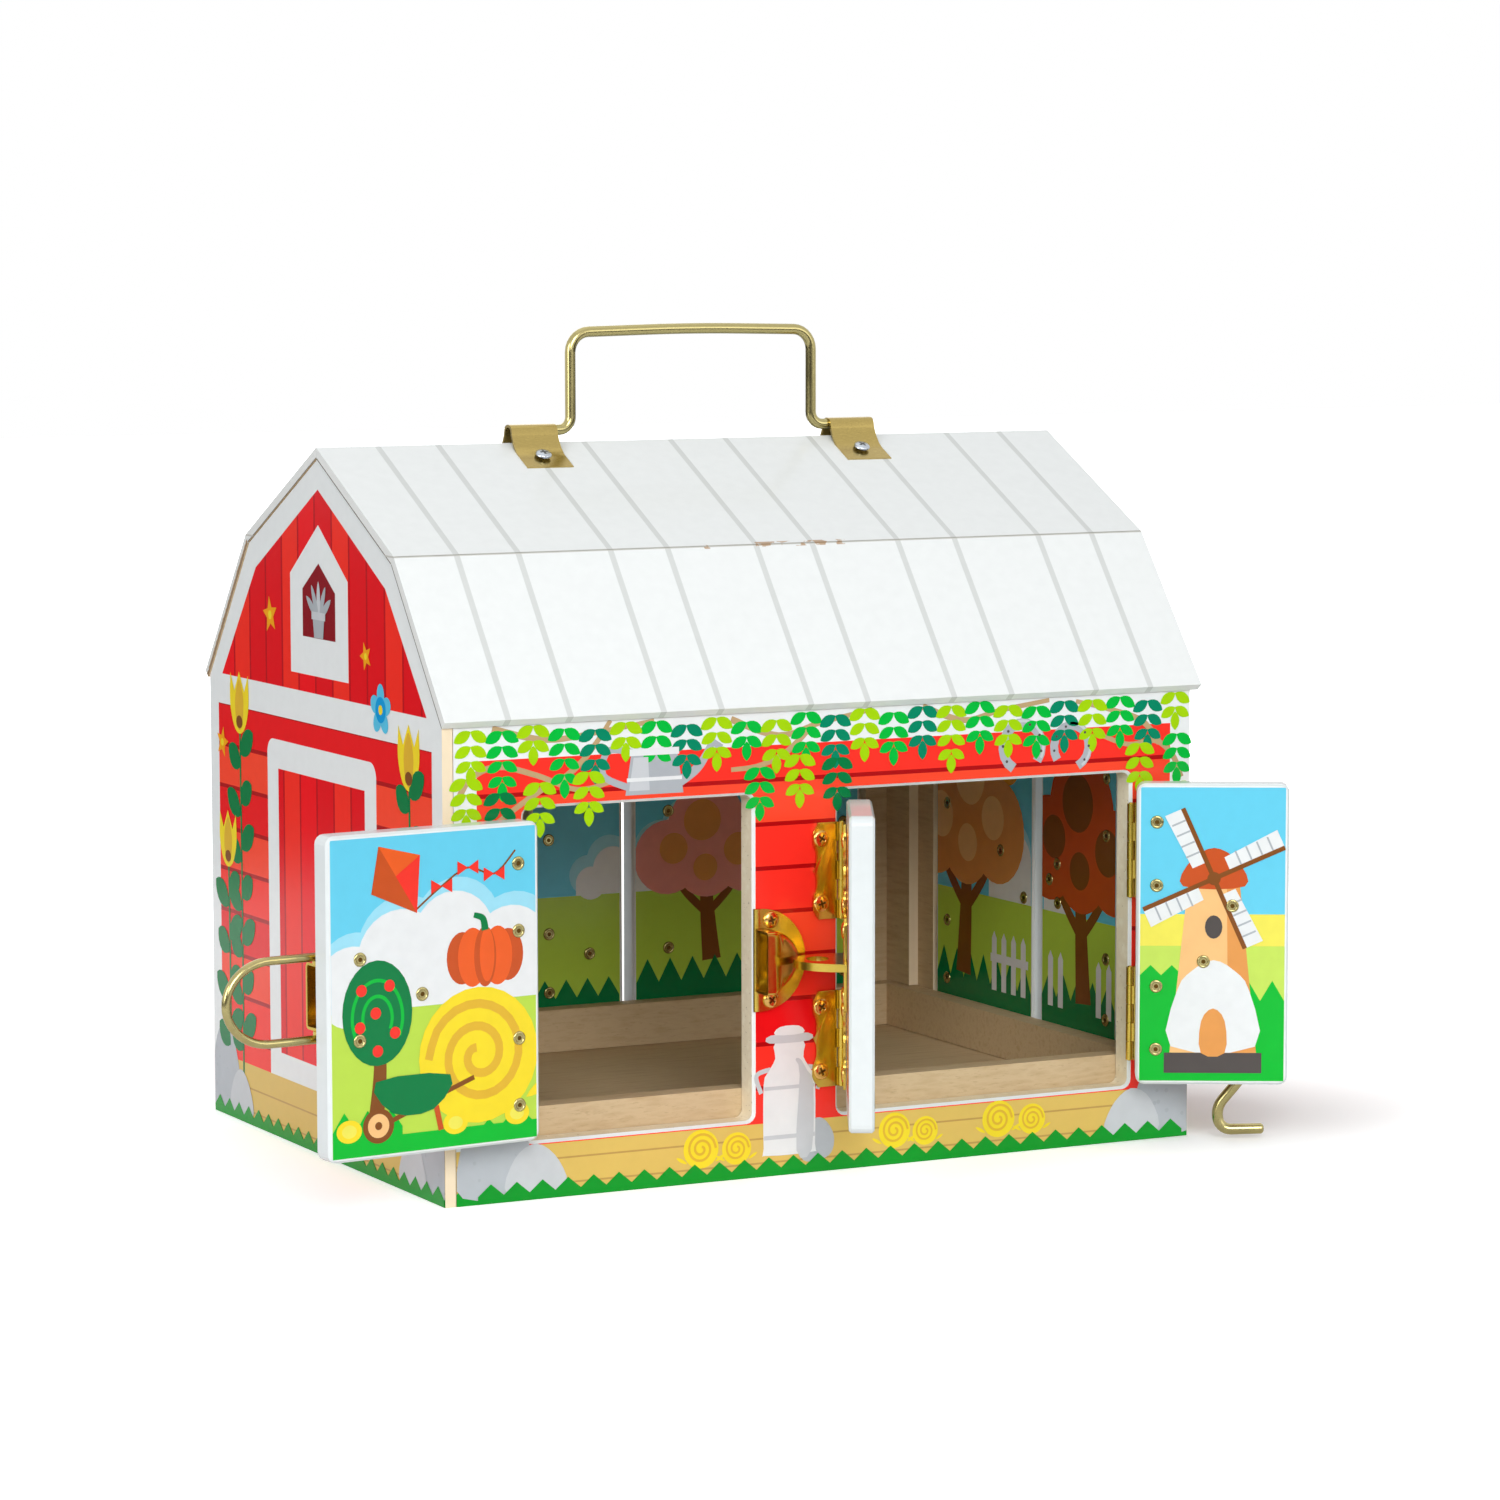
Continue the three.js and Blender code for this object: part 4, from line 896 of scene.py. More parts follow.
def hang_sprigs(name, face, places, pairs, greens, layer):
    """sprigs at their (u, v, shade) places on a face"""
    heading = math.atan2(face.normal.y, face.normal.x) + math.pi / 2
    spots = [(face.at(u, v, LIFT + LAYER * (layer + 0.5 * (index % 2))), (0, 0, heading), 1.0,
              shade) for index, (u, v, shade) in enumerate(places)]
    inputs = {label: ink(green) for label, green in zip(GREEN_LABELS, greens)}
    bake(name, SPRIGS, spots, {"Pairs": pairs, **inputs}, face.body, face.slot)


# Front wall pictures
# Leaf sprigs and twigs under the eave with a watering can and horseshoes among them, and a milk
# churn, small bales and stones in the grass.
FRONT = Face("barn_body", (0, -116.3), (1, 0), (0, -1), (-155.4, 159.9, 0.2, 177.4))
BACK = Face("barn_body", (0, 116.3), (-1, 0), (0, 1), (-159.9, 155.4, 0.2, 177.4))
BAND_TOP = 176.5
SPRIG_EVERY = 12.7
SPRIG_INSET = 6.8
SPRIG_SHADES = (0, 1, 0, 1, 2, 0, 1, 2)
TWIG_WIDE = (2.6, 1.7)
TWIG_LINES = (
    ((-154, 150), (-149, 158), (-138, 162), (-122, 158), (-106, 152), (-92, 154)),
    ((-113, 155), (-104, 162), (-97, 170), (-92, 177)),
    ((-140, 176), (-118, 171), (-96, 173), (-74, 176)),
    ((-118, 154), (-128, 148), (-139, 141)),
    ((-42, 175), (-22, 168), (-4, 172), (18, 176)),
    ((-8, 171), (-18, 162), (-30, 157), (-42, 156)),
    ((40, 176), (58, 170), (74, 173), (96, 176)),
    ((156, 143), (152, 152), (144, 158), (132, 157), (120, 161)),
    ((146, 157), (138, 166), (124, 171), (108, 175)),
)
WATERING_CAN = (
    ("grey", 1, stroke([(8, 3), (18, 9), (24, 18)], 4.4, 2.6)),
    ("grey", 2, stroke([(21, 20.5), (28, 16)], 2.4)),
    ("grey", 1, stroke([(-9, 16), (-19, 17), (-21, 8), (-11, 3)], 2.6)),
    ("grey", 2, [(-12, 0), (12, 0), (9.5, 15.5), (-9.5, 15.5)]),
    ("pale_grey", 3, [(-10.5, 1.6), (-2, 1.6), (-2.6, 14), (-8.6, 14)]),
    ("white", 3, rectangle(-10.2, 14.6, 10.2, 17.2)),
    ("white", 4, rectangle(-11.4, 5, 11.4, 6.4)),
)
MILK_CHURN = (
    ("stone", 1, smooth([(6, -3), (17, -2), (19, 6), (13, 13), (4, 8)])),
    ("pale_grey", 1, stroke([(-8, 33), (-14, 31), (-12, 24)], 1.8)),
    ("pale_grey", 1, stroke([(8, 33), (14, 31), (12, 24)], 1.8)),
    ("white", 2, smooth([(-10, 0), (-11, 3), (-11, 27), (-9, 32), (-6, 37), (-6, 43), (6, 43),
                         (6, 37), (9, 32), (11, 27), (11, 3), (10, 0)], steps=3)),
    ("pale_grey", 3, smooth([(3, 1), (9.6, 1), (10.2, 26), (7.6, 31.5), (4.8, 36), (2.6, 36),
                             (4.4, 30)], steps=3)),
    ("pale_grey", 4, rectangle(-10.9, 6, 10.9, 7.6)),
    ("pale_grey", 4, rectangle(-10.7, 25, 10.7, 26.4)),
    ("pale_grey", 4, smooth([(-8.5, 43), (8.5, 43), (8, 46), (-8, 46)], steps=3)),
    ("white", 5, smooth([(-6, 46), (6, 46), (4, 49), (-4, 49)], steps=3)),
)
ROUND_BALE = (
    ("yellow", 2, oval(0, 0, 1)), ("gold", 3, swirl(0.84, 0.13)),
    ("yellow", 2, blade(-0.8, -0.7, 0.7, 0.13, 150)),
    ("yellow", 2, blade(0.8, -0.7, 0.7, 0.13, 30)),
)
CORNER_STONES = (
    ("stone", 1, smooth([(-4, 3), (-5, 20), (1, 34), (11, 38), (20, 28), (25, 14), (27, 3)],
                        steps=4)),
    ("pale_grey", 2, smooth([(14, 3), (17, 16), (26, 21), (35, 14), (37, 3)], steps=4)),
)
SHOE_STRETCH = 1.06
NAIL_ANGLES = (-25, 15, 55, 125, 165, 205)


def dress_band(name, face, seed, lines, extra):
    """twigs and a row of sprigs along the top of the white band, a little uneven"""
    twigs = Picture(f"{name}_twigs", face)
    for line in lines:
        twigs.lay("twig", 1, stroke(line, *TWIG_WIDE))
    twigs.done()
    dice = random.Random(seed)
    low, high = face.limits[:2]
    count = round((high - low) / SPRIG_EVERY)
    rows = ([], [], [])
    for index in range(count):
        u = low + SPRIG_INSET + (high - low - 2 * SPRIG_INSET) * index / (count - 1)
        shade = SPRIG_SHADES[index % len(SPRIG_SHADES)]
        rows[dice.choice((0, 1, 1, 2))].append((u, BAND_TOP - dice.uniform(0, 3.5), shade))
    for pairs, row in zip((2, 3, 4), rows):
        if row:
            hang_sprigs(f"{name}_sprigs_{pairs}", face, row, pairs, SPRIG_GREENS[0], 2)
    hang_sprigs(f"{name}_low_sprigs", face, extra, 3, SPRIG_GREENS[1], 3)


def horseshoe(lean):
    """a horseshoe of unit size, turned by an angle"""
    def bend(reach, start, end, steps=14):
        return arc(0, 0, reach, reach * SHOE_STRETCH, start + lean, end + lean, steps)

    nails = [("dark_grey", 3, oval(*bend(1, angle, angle, 1)[0], 0.07, steps=8))
             for angle in NAIL_ANGLES]
    return [("grey", 1, stroke(bend(1, -52, 232), 0.46, 0.46, 1)),
            ("pale_grey", 2, stroke(bend(1.1, -40, 110), 0.14, 0.14, 1)), *nails]


def wall_foot(picture, stones, low, high):
    """stones at both corners, and the grass drawn again in front of what stands in it"""
    for side, u in zip((1, -1), stones):
        picture.stamp(CORNER_STONES, u, side=side)
    start = math.ceil(low / GRASS_PITCH) * GRASS_PITCH
    end = math.floor(high / GRASS_PITCH) * GRASS_PITCH
    picture.lay("turf", 5, teeth(start, end, 0.3, GRASS_LOW, GRASS_LOW + GRASS_TOOTH, GRASS_PITCH))


def wall_picture(name, face, can, shoes, churn, bales, foot):
    picture = Picture(name, face)
    picture.stamp(WATERING_CAN, *can)
    for u, v, size, lean in shoes:
        picture.stamp(horseshoe(lean), u, v, size)
    picture.stamp(MILK_CHURN, *churn)
    for bale in bales:
        picture.stamp(ROUND_BALE, *bale)
    wall_foot(picture, *foot)
    picture.done()


dress_band("front", FRONT, 4, TWIG_LINES, (
    (-150.6, 158, 0), (-150.6, 139, 0), (-150.8, 120, 0), (-150.6, 101, 1), (-137, 152, 2),
    (-121, 155, 0), (-101, 158, 0), (-30, 156, 1), (-13, 160, 0), (3, 158, 2), (154, 160, 1),
    (155, 141, 0), (155, 122, 2), (137, 157, 0)))
wall_picture("front_picture", FRONT, (-74, 148.6), ((84, 158.5, 8.6, 12), (106, 157.5, 7.8, -16)),
             (-17.5, 8), ((-55, 13, 7.4), (-40, 12, 6.2), (28, 13.2, 6.9), (41.5, 12, 5.6),
                          (74, 13.8, 7.2), (89, 12.6, 6)), ((-149, 160), -155, 160))

# Back wall pictures
# The same kinds of motif behind the barn, printed in the same inks and set out in an order of
# their own.
dress_band("back", BACK, 9, [[(-u - 4, v) for u, v in line] for line in TWIG_LINES], (
    (-154, 158, 0), (-154, 139, 2), (-154, 118, 0), (150, 160, 0), (150, 141, 1),
    (150, 120, 0), (52, 156, 0), (90, 156, 2), (126, 150, 0)))
wall_picture("back_picture", BACK, (74, 148.6), ((-60, 158, 8.4, -10), (-84, 157, 7.6, 20)),
             (92, 8), ((48, 13, 7.2), (63, 12, 6), (-20, 13, 7), (-34, 12, 5.8), (-92, 13.4, 7)),
             ((-156, 152), -160, 155))

# Left gable pictures
# Tall tulips printed at both sides of the barn door, a potted plant in the window, and stars
# and a blue flower above.
GABLE_LIMITS = (-116.1, 116.1, 0.2, 262)
LEFT = Face("barn_body", (-160, 0), (0, -1), (-1, 0), GABLE_LIMITS)
RIGHT = Face("barn_body", (160, 0), (0, 1), (1, 0), GABLE_LIMITS)
SILL = 201.4
LEAF_EVERY = 19
TULIP_HEAD = (
    ("yellow", 3, smooth([(-9.5, 11), (-10, 0), (-6, -9), (0, -12), (6, -9), (10, 0), (9.5, 11)],
                         False, 4) + [(9.5, 12), (5.2, 5), (0, 13), (-5.2, 5), (-9.5, 12)]),
    ("gold", 4, smooth([(0, 10), (4.4, 2), (3.4, -7), (0, -10.5), (-3.4, -7), (-4.4, 2)],
                       steps=4)),
    ("brown", 5, oval(0, -7.2, 3.4, 2.6, steps=16)),
)
BELL_FLOWER = [("pale_blue", 3, oval(*arc(0, 0, 0.58, 0.58, lean, lean, 1)[0], 0.46, 0.36, lean))
               for lean in range(90, 450, 72)]
BELL_FLOWER += [("blue", 4, oval(0, 0, 0.52)), ("yellow", 5, oval(0, 0, 0.2, steps=14))]
POTTED_PLANT = [("pale_grey" if lean == 90 else "grey", 3, blade(0, 7, 15, 2.6, lean))
                for lean in (35, 62, 90, 118, 145)]
POTTED_PLANT += [("grey", 4, [(-4.4, 0), (4.4, 0), (5.8, 8), (-5.8, 8)]),
                 ("pale_grey", 5, rectangle(-6.8, 7, 6.8, 10))]


def tulip(picture, u, head, foot, size):
    """a tulip on a stem from the foot's height, with pairs of broad leaves"""
    picture.lay("deep_green", 1, stroke([(u, foot), (u + 0.6, (foot + head) / 2), (u, head)], 1.6))
    level = foot + 20
    side = 1
    while level < head - 16:
        for way in (side, -side * 0.85):
            lean = 90 - 56 * (1 if way > 0 else -1)
            picture.lay("deep_green", 2, blade(u, level + 3 * way, 17 * abs(way), 7.4, lean))
        side = -side
        level += LEAF_EVERY
    picture.stamp(TULIP_HEAD, u, head, size)


def star(lean):
    """a five-pointed star of unit size, turned by an angle"""
    points = [arc(0, 0, reach, reach, angle, angle, 1)[0] for angle, reach in zip(
        range(90 + lean, 450 + lean, 36), (1, 0.45) * 5)]
    return ("amber", 3, points), ("yellow", 4, oval(0, 0, 0.24, steps=12))


def gable_picture(name, face, tulips, stars, bell, plain):
    picture = Picture(name, face)
    for place in tulips:
        tulip(picture, *place)
    for u, v, radius, lean in stars:
        picture.stamp(star(lean), u, v, radius)
    picture.stamp(BELL_FLOWER, *bell)
    picture.stamp(POTTED_PLANT, 0, SILL)
    if plain:
        wall_foot(picture, (-112, 112), -116, 116)
    picture.done()


gable_picture("left_gable_picture", LEFT, (
    (-84, 169, 12, 1.0), (-98, 113, 12, 0.92), (86, 163, 12, 1.0), (98, 104, 12, 0.92)),
    ((-50, 207, 7.5, 8), (-103, 152, 6.5, -12), (46, 198, 5.6, 20)), (60, 179, 9.5), True)

# Right gable pictures
# The end with the double doorway has room only for its potted plant, two stars, a blue flower
# and two tulips in the same inks.
gable_picture("right_gable_picture", RIGHT, (
    (-97, 168, 12, 0.9), (97, 166, 12, 0.9)),
    ((46, 206, 7, 8), (-52, 200, 6, -12)), (-66, 184, 8.5), False)

# Door leaves
# White-edged boards: a picture on the inside, red boards in a white frame on the outside. A
# door's limits leave the white edge round its faces; its studs stand proud and are brass.
KNUCKLE_OUT = 1.7
BOARD_THICK = 9.5
END_THICK = 9.0
DOOR_LOW = 24.9
DOOR_HIGH = 143.1
END_DOOR_HIGH = 153.1
LEAF_START = 2.0
SIDE_TRIM = 1.5
FRAME_TRIM = 7.5
BRACE_ACROSS = 6
BRACE_UP = 9
HORIZON = 79.0
STUD_START = 0.3
STUD_BRASS = rgb(226, 190, 112)
DOOR_EDGE = rgb(226, 232, 233)


class Leaf(Face):
    """A door leaf, swung from shut: itself its outer face, with its inner face and its wall."""

    def __init__(self, body, width, axis, shut, outward, angle=0, high=DOOR_HIGH,
                 thick=BOARD_THICK):
        swing = math.radians(angle)
        axis, shut, outward = (Vector((*way, 0)) for way in (axis, shut, outward))
        along = shut * math.cos(swing) + outward * math.sin(swing)
        out = outward * math.cos(swing) - shut * math.sin(swing)
        limits = (LEAF_START + SIDE_TRIM, LEAF_START + width - SIDE_TRIM, DOOR_LOW + SIDE_TRIM,
                  high - SIDE_TRIM)
        super().__init__(body, axis - out * KNUCKLE_OUT, along, out, limits)
        self.axis = axis
        self.inside = Face(body, axis - out * (thick + KNUCKLE_OUT), along, -out, limits)
        self.wall = Face("barn_body", axis - outward * KNUCKLE_OUT, -shut, outward)


END_SIZES = {"high": END_DOOR_HIGH, "thick": END_THICK}
LEAVES = {
    "front_door_left": Leaf("left_front_door", 88.2, (-126.8, -118), (1, 0), (0, -1), 173.6),
    "front_door_middle": Leaf("middle_front_door", 59.1, (4.1, -118), (1, 0), (0, -1), 117.2),
    "front_door_right": Leaf("right_front_door", 59.1, (132.2, -118), (-1, 0), (0, -1), 150.6),
    "back_door_small": Leaf("small_back_door", 42.8, (-24.7, 118), (1, 0), (0, 1)),
    "back_door_large": Leaf("large_back_door", 109.1, (135.8, 118), (-1, 0), (0, 1)),
    "end_door_back": Leaf("back_end_door", 81.7, (161.7, 72.7), (0, -1), (1, 0), **END_SIZES),
    "end_door_front": Leaf("front_end_door", 60.5, (161.7, -79.5), (0, 1), (1, 0), **END_SIZES),
}


def door_print(name, leaf):
    board = Board(name)
    along = board.along(leaf.along) - leaf.axis.dot(leaf.along)
    up = board.z
    low, high, bottom, top = leaf.limits
    inside = board.mix(up.under(HORIZON), SKY, FIELD)
    panel = along.within(low + FRAME_TRIM, high - FRAME_TRIM)
    panel = panel * up.within(bottom + FRAME_TRIM, top - FRAME_TRIM)
    outside = board.mix(panel, WHITE, upright_boards(board, along))
    out = board.facing(leaf.normal)
    face = along.within(low, high) * up.within(bottom, top)
    colour = board.mix(face * out.under(-ON_FACE, FACE_SOFT), WHITE, inside)
    colour = board.mix(face * out.over(ON_FACE, FACE_SOFT), colour, outside)
    colour = board.mix(abs(out).under(0.8, 0.1), colour, DOOR_EDGE)
    outer_face = leaf.axis.dot(leaf.normal) - KNUCKLE_OUT
    proud = (board.along(leaf.normal) - outer_face).over(STUD_START)
    board.feed(board.shader.inputs["Metallic"], proud)
    return gloss(board, board.mix(proud, colour, STUD_BRASS))


def brace(leaf, name):
    """the printed slanting board across a door's outer face"""
    picture = Picture(f"{name}_brace", leaf)
    low, high, bottom, top = (limit + inset for limit, inset in zip(
        leaf.limits, (FRAME_TRIM, -FRAME_TRIM, FRAME_TRIM, -FRAME_TRIM)))
    picture.lay("white", 0, [(low, bottom), (low + BRACE_ACROSS, bottom), (high, top - BRACE_UP),
                             (high, top), (high - BRACE_ACROSS, top), (low, bottom + BRACE_UP)])
    picture.done()


for door, leaf in LEAVES.items():
    dress(door, door_print(f"{door}_print", leaf))
    brace(leaf, door)

# Left front door picture
# A round bale and a pumpkin, a fruit tree, a barrow and a kite before a cloud, printed on the
# inner face, which shows while the door stands open.
MEADOW_START = 3.5
MEADOW_FOOT = 26.4
PUMPKIN = (
    ("rust", 2, oval(-0.62, 0, 0.42, 0.62)), ("rust", 2, oval(0.62, 0, 0.42, 0.62)),
    ("orange", 3, oval(-0.34, 0, 0.4, 0.7)), ("orange", 3, oval(0.34, 0, 0.4, 0.7)),
    ("rust", 4, oval(0, 0, 0.3, 0.72)), ("orange", 5, oval(-0.05, 0.04, 0.2, 0.64)),
    ("deep_green", 6, stroke([(0, 0.62), (0.06, 0.9), (0.3, 1)], 0.2, 0.12)),
)
BARROW = (
    ("brown", 5, stroke([(-26, 9), (-12, 4), (12, -5)], 1.8)),
    ("rust", 5, stroke([(-10, 0), (-12, -9)], 2.2)),
    ("deep_green", 6, smooth([(-16, 11), (15, 11), (8, -1), (-9, -1)], steps=3)),
    ("brown", 6, oval(14, -5, 6.4)), ("tan", 7, oval(14, -5, 4.4)),
    ("brown", 8, oval(14, -5, 1.5, steps=12)),
)
KITE = (
    ("orange", 3, [(0.5, 0.8), (-0.72, 0.5), (-0.62, -1), (0.72, -0.42)]),
    ("rust", 4, [(0.5, 0.8), (0, 0), (-0.62, -1), (0.72, -0.42)]),
    ("red", 4, [(-0.72, 0.5), (0, 0), (-0.62, -1)]),
)
KITE_TAIL = ((54, 114), (43, 122), (32, 128), (21, 125), (12, 133))
BOWS = [("red", 4, [(0, 0), (side * 4.4, 2.6), (side * 4.4, -2.6)]) for side in (-1, 1)]
FRUIT_SHARES = ((-0.5, -0.4), (0.5, -0.25), (0.05, 0.0), (-0.35, 0.5), (0.45, 0.45), (0, -0.72))


def inner_picture(name, door, puffs):
    """a door's inner picture: first the clouds' puffs, round ones down to the horizon"""
    picture = Picture(f"{name}_picture", LEAVES[door].inside)
    for u, v, r in puffs:
        picture.lay("mist", 0, oval(u - 1.5, v + 3.5, r + 1.5))
        picture.lay("white", 1, oval(u, v, r))
        picture.lay("white", 1, rectangle(u - r * 0.99, HORIZON, u + r * 0.99, v))
    return picture


def bushes(picture, colour, layer, *tufts):
    for start, end, low, high, pitch in tufts:
        picture.lay(colour, layer, teeth(start, end, MEADOW_FOOT, low, high, pitch))


def fruit_tree(picture, u, foot, tall, crown, light, fruit, layer):
    """a trunk and a tall round crown with two lighter arcs and some fruit"""
    trunk = [(u + 1, foot), (u - 1, foot + tall / 2), (u, foot + tall)]
    picture.lay("brown", layer, stroke(trunk, tall * 0.16, tall * 0.1))
    wide, high = tall * 0.36, tall * 0.48
    middle = foot + tall
    picture.lay(crown, layer + 1, oval(u, middle, wide, high))
    for share in (0.72, 0.42):
        bough = arc(u, middle - high * 0.1, wide * share, high * share, -30, 210, 10)
        picture.lay(light, layer + 2, stroke(bough, 1.3, 1.3, 3))
    for a, b in FRUIT_SHARES:
        place = (u + a * wide, middle + b * high)
        picture.lay(fruit, layer + 3, oval(*place, tall * 0.055, steps=14))


left_door = inner_picture("left_door", "front_door_left", (
    (80, 88, 15), (60, 97, 18), (38, 103, 17), (14, 96, 17)))
bushes(left_door, "grass", 2, (MEADOW_START, 28, 31, 35, 8), (60, 88.7, 36, 43, 10))
left_door.lay("grass", 2, rectangle(MEADOW_START, MEADOW_FOOT, 88.7, 33))
left_door.stamp(ROUND_BALE, 28, 59, 25, rise=1)
left_door.stamp(PUMPKIN, 25, 95, 15.5)
fruit_tree(left_door, 70, 38, 40, "deep_green", "leaf_green", "red", 2)
left_door.lay("brown", 2, stroke(KITE_TAIL, 0.7))
left_door.stamp(KITE, 62, 127, 14)
for knot in KITE_TAIL[1:-1]:
    left_door.stamp(BOWS, *knot)
left_door.stamp(BARROW, 56, 42)
for u, v in ((82, 36), (12, 36), (38, 35)):
    left_door.lay("yellow", 5, oval(u, v, 5.2, 4.2))
    left_door.lay("lemon", 6, oval(u, v, 3, 2.4))
left_door.done()

# Middle front door picture
# A pear tree over a row of bushes, with one pumpkin, before a cloud, printed on the inner face
# of the door that hangs on the post.
middle_door = inner_picture("middle_door", "front_door_middle", (
    (14, 94, 9), (29, 101, 12), (46, 95, 10)))
bushes(middle_door, "grass", 2, (MEADOW_START, 59.6, 38, 47, 9.3))
fruit_tree(middle_door, 36, 38, 46, "leaf_green", "deep_green", "lemon", 3)
middle_door.stamp(PUMPKIN, 15, 38, 9, rise=3)
middle_door.done()

# Right front door picture
# A windmill with four white sails before a green hill, printed on the inner face of the door
# with the cabin hook.
MILL = 32.0
MILL_HUB = 106
SAIL_TURN = 24
MILL_BODY = (
    ("tan", 3, [(-17, 36), (17, 36), (10, 104), (-10, 104)]),
    ("deep_tan", 4, [(6, 36), (17, 36), (10, 104), (5, 104)]),
    ("white", 5, smooth([(-16.4, 40), (16.4, 40), (14, 62), (8, 70), (0, 74), (-8, 70),
                         (-14, 62)], steps=3)),
    ("dark_grey", 4, rectangle(-19, 29.5, 19, 37.5)),
    ("deep_tan", 6, smooth([(-4.6, 37.4), (4.6, 37.4), (4.6, 50), (0, 55), (-4.6, 50)], steps=3)),
    ("rust", 5, smooth([(-12, 103), (12, 103), (9, 113), (0, 118), (-9, 113)], steps=4)),
    ("dark_grey", 5, oval(0, 87, 3.4, 4.6, steps=16)),
)
SAIL = [("brown", 6, rectangle(0, 0.9, 30, -0.9)), ("white", 6, [(7, 0.9), (30, 0.9), (30, 7.6),
                                                                (7, 6)])]
SAIL += [("grey", 7, rectangle(step, 1, step + 0.7, 6.6)) for step in (11.5, 16, 20.5, 25)]
right_door = inner_picture("right_door", "front_door_right", ())
right_door.lay("lemon", 0, rectangle(MEADOW_START, HORIZON, 59.6, 92))
right_door.lay("field", 1, rectangle(MEADOW_START, MEADOW_FOOT, 59.6, HORIZON + 0.5))
bushes(right_door, "grass", 2, (MEADOW_START, 59.6, 58, 66, 9.5), (MEADOW_START, 20, 68, 72, 8))
right_door.stamp(MILL_BODY, MILL)
for quarter in range(4):
    for colour, layer, shape in SAIL:
        right_door.lay(colour, layer, turned(shape, MILL, MILL_HUB, SAIL_TURN + 90 * quarter))
right_door.lay("brown", 8, oval(MILL, MILL_HUB, 2.6, steps=16))
right_door.done()

# Back and end door pictures
# Blossom and autumn trees over dark bushes, with white pickets and a sun on the end doors. They
# are printed on the inner faces, and seen through the front doorways.
CROWN_SHARES = ((-0.42, 1.0, 0.36), (0.42, 1.02, 0.36), (0, 1.3, 0.42), (0, 0.95, 0.34))
SHADE_SHARES = ((-0.34, 1.06, 0.16), (0.36, 1.1, 0.15), (0.05, 1.36, 0.2), (0.02, 0.9, 0.13))
PICKET_FOOT = 40
PICKET_HALF = 2
PICKET_TIP = 3


def blossom_tree(picture, u, foot, size, crown, shade, layer):
    trunk = [(u - 2, foot), (u, foot + size * 0.5), (u + 1, foot + size)]
    picture.lay("brown", layer, stroke(trunk, size * 0.2, size * 0.1))
    for side in (-1, 1):
        bough = [(u + side * size * a, foot + size * b) for a, b in (
            (0, 0.45), (0.25, 0.7), (0.4, 1))]
        picture.lay("brown", layer, stroke(bough, size * 0.08))
    for rise, colour, puffs in ((1, crown, CROWN_SHARES), (2, shade, SHADE_SHARES)):
        for a, b, r in puffs:
            picture.lay(colour, layer + rise, oval(u + a * size, foot + b * size, r * size))


def pickets(picture, top, places):
    for u in places:
        left, right = u - PICKET_HALF, u + PICKET_HALF
        picture.lay("white", 4, [(left, PICKET_FOOT), (right, PICKET_FOOT), (right, top),
                                 (u, top + PICKET_TIP), (left, top)])


small_back = inner_picture("small_back", "back_door_small", ((40, 90, 9), (30, 84, 7)))
bushes(small_back, "deep_green", 2, (MEADOW_START, 43, 36, 44, 9))
small_back.done()
large_back = inner_picture("large_back", "back_door_large", (
    (99, 92, 12), (84, 100, 14), (40, 94, 13), (24, 88, 12)))
bushes(large_back, "deep_green", 5, (MEADOW_START, 109.6, 40, 50, 11))
blossom_tree(large_back, 76, 48, 44, "pink", "deep_tan", 2)
blossom_tree(large_back, 24, 46, 36, "pink", "rust", 2)
large_back.done()
end_back = inner_picture("end_back", "end_door_back", ((70, 96, 12), (56, 90, 9)))
end_back.lay("amber", 1, oval(62, 138, 11))
end_back.lay("orange", 2, oval(62, 138, 8))
bushes(end_back, "deep_green", 2, (MEADOW_START, 82.2, 42, 54, 12))
blossom_tree(end_back, 28, 44, 62, "deep_tan", "tan", 3)
pickets(end_back, 62, (52, 60, 68, 76))
end_back.lay("white", 4, rectangle(49, 52, 80, 55.5))
end_back.done()
end_front = inner_picture("end_front", "end_door_front", ((50, 94, 10),))
bushes(end_front, "deep_green", 2, (MEADOW_START, 61, 44, 54, 11))
blossom_tree(end_front, 30, 44, 60, "rust", "brown", 3)
pickets(end_front, 60, (8, 16, 46, 54))
end_front.done()

# Brass
# Lacquered brass with fine rolling marks, dull patches and small pits. Flat pieces are pressed
# from sheet, and handle, loop and hook are bent from wire.
METAL_DEPTH = 0.06
SLOT_HALF_SHARES = (0.13, 0.5)
SHARP_ANGLE = 34
END_SHARES = ((0.0, 0.35), (0.14, 0.7), (0.45, 0.95))


def metal(name, bright, dark, rough, cross=False):
    """polished metal; a screw head's crossed slot is drawn from its own place on the head,
    darkened with painted shade and bumped in
    """
    board = Board(name)
    board.shader.inputs["Metallic"].default_value = 1.0
    marks = board.noise(0.5, 4, (1, 1, 6))
    dull = board.noise(0.09, 3)
    pits = board.noise(1.7, 2).over(0.7, 0.08)
    colour = board.mix(marks.within(0.35, 0.7, 0.4) * 0.3, rgb(*bright), rgb(*dark))
    colour = board.mix(pits * 0.35, colour, rgb(*dark))
    height = marks * 0.4 - pits * 0.5
    if cross:
        spot = board.out("ShaderNodeAttribute", settings={"attribute_name": "head_spot"},
                         output="Vector")
        a, b = (abs(part) for part in board.parts(spot)[:2])
        narrow, long = SLOT_HALF_SHARES
        slot = (a.under(narrow, 0.05) * b.under(long, 0.05)).either(
            b.under(narrow, 0.05) * a.under(long, 0.05))
        # the slot is painted dark as the shade in its recess, and its bump sinks it
        colour = board.mix(slot * 0.85, colour, rgb(*(0.3 * tone for tone in dark)))
        height = height - slot * 6
    return board.finish(colour, dull * 0.14 + rough, height, 0.6 if cross else 0.12, METAL_DEPTH)


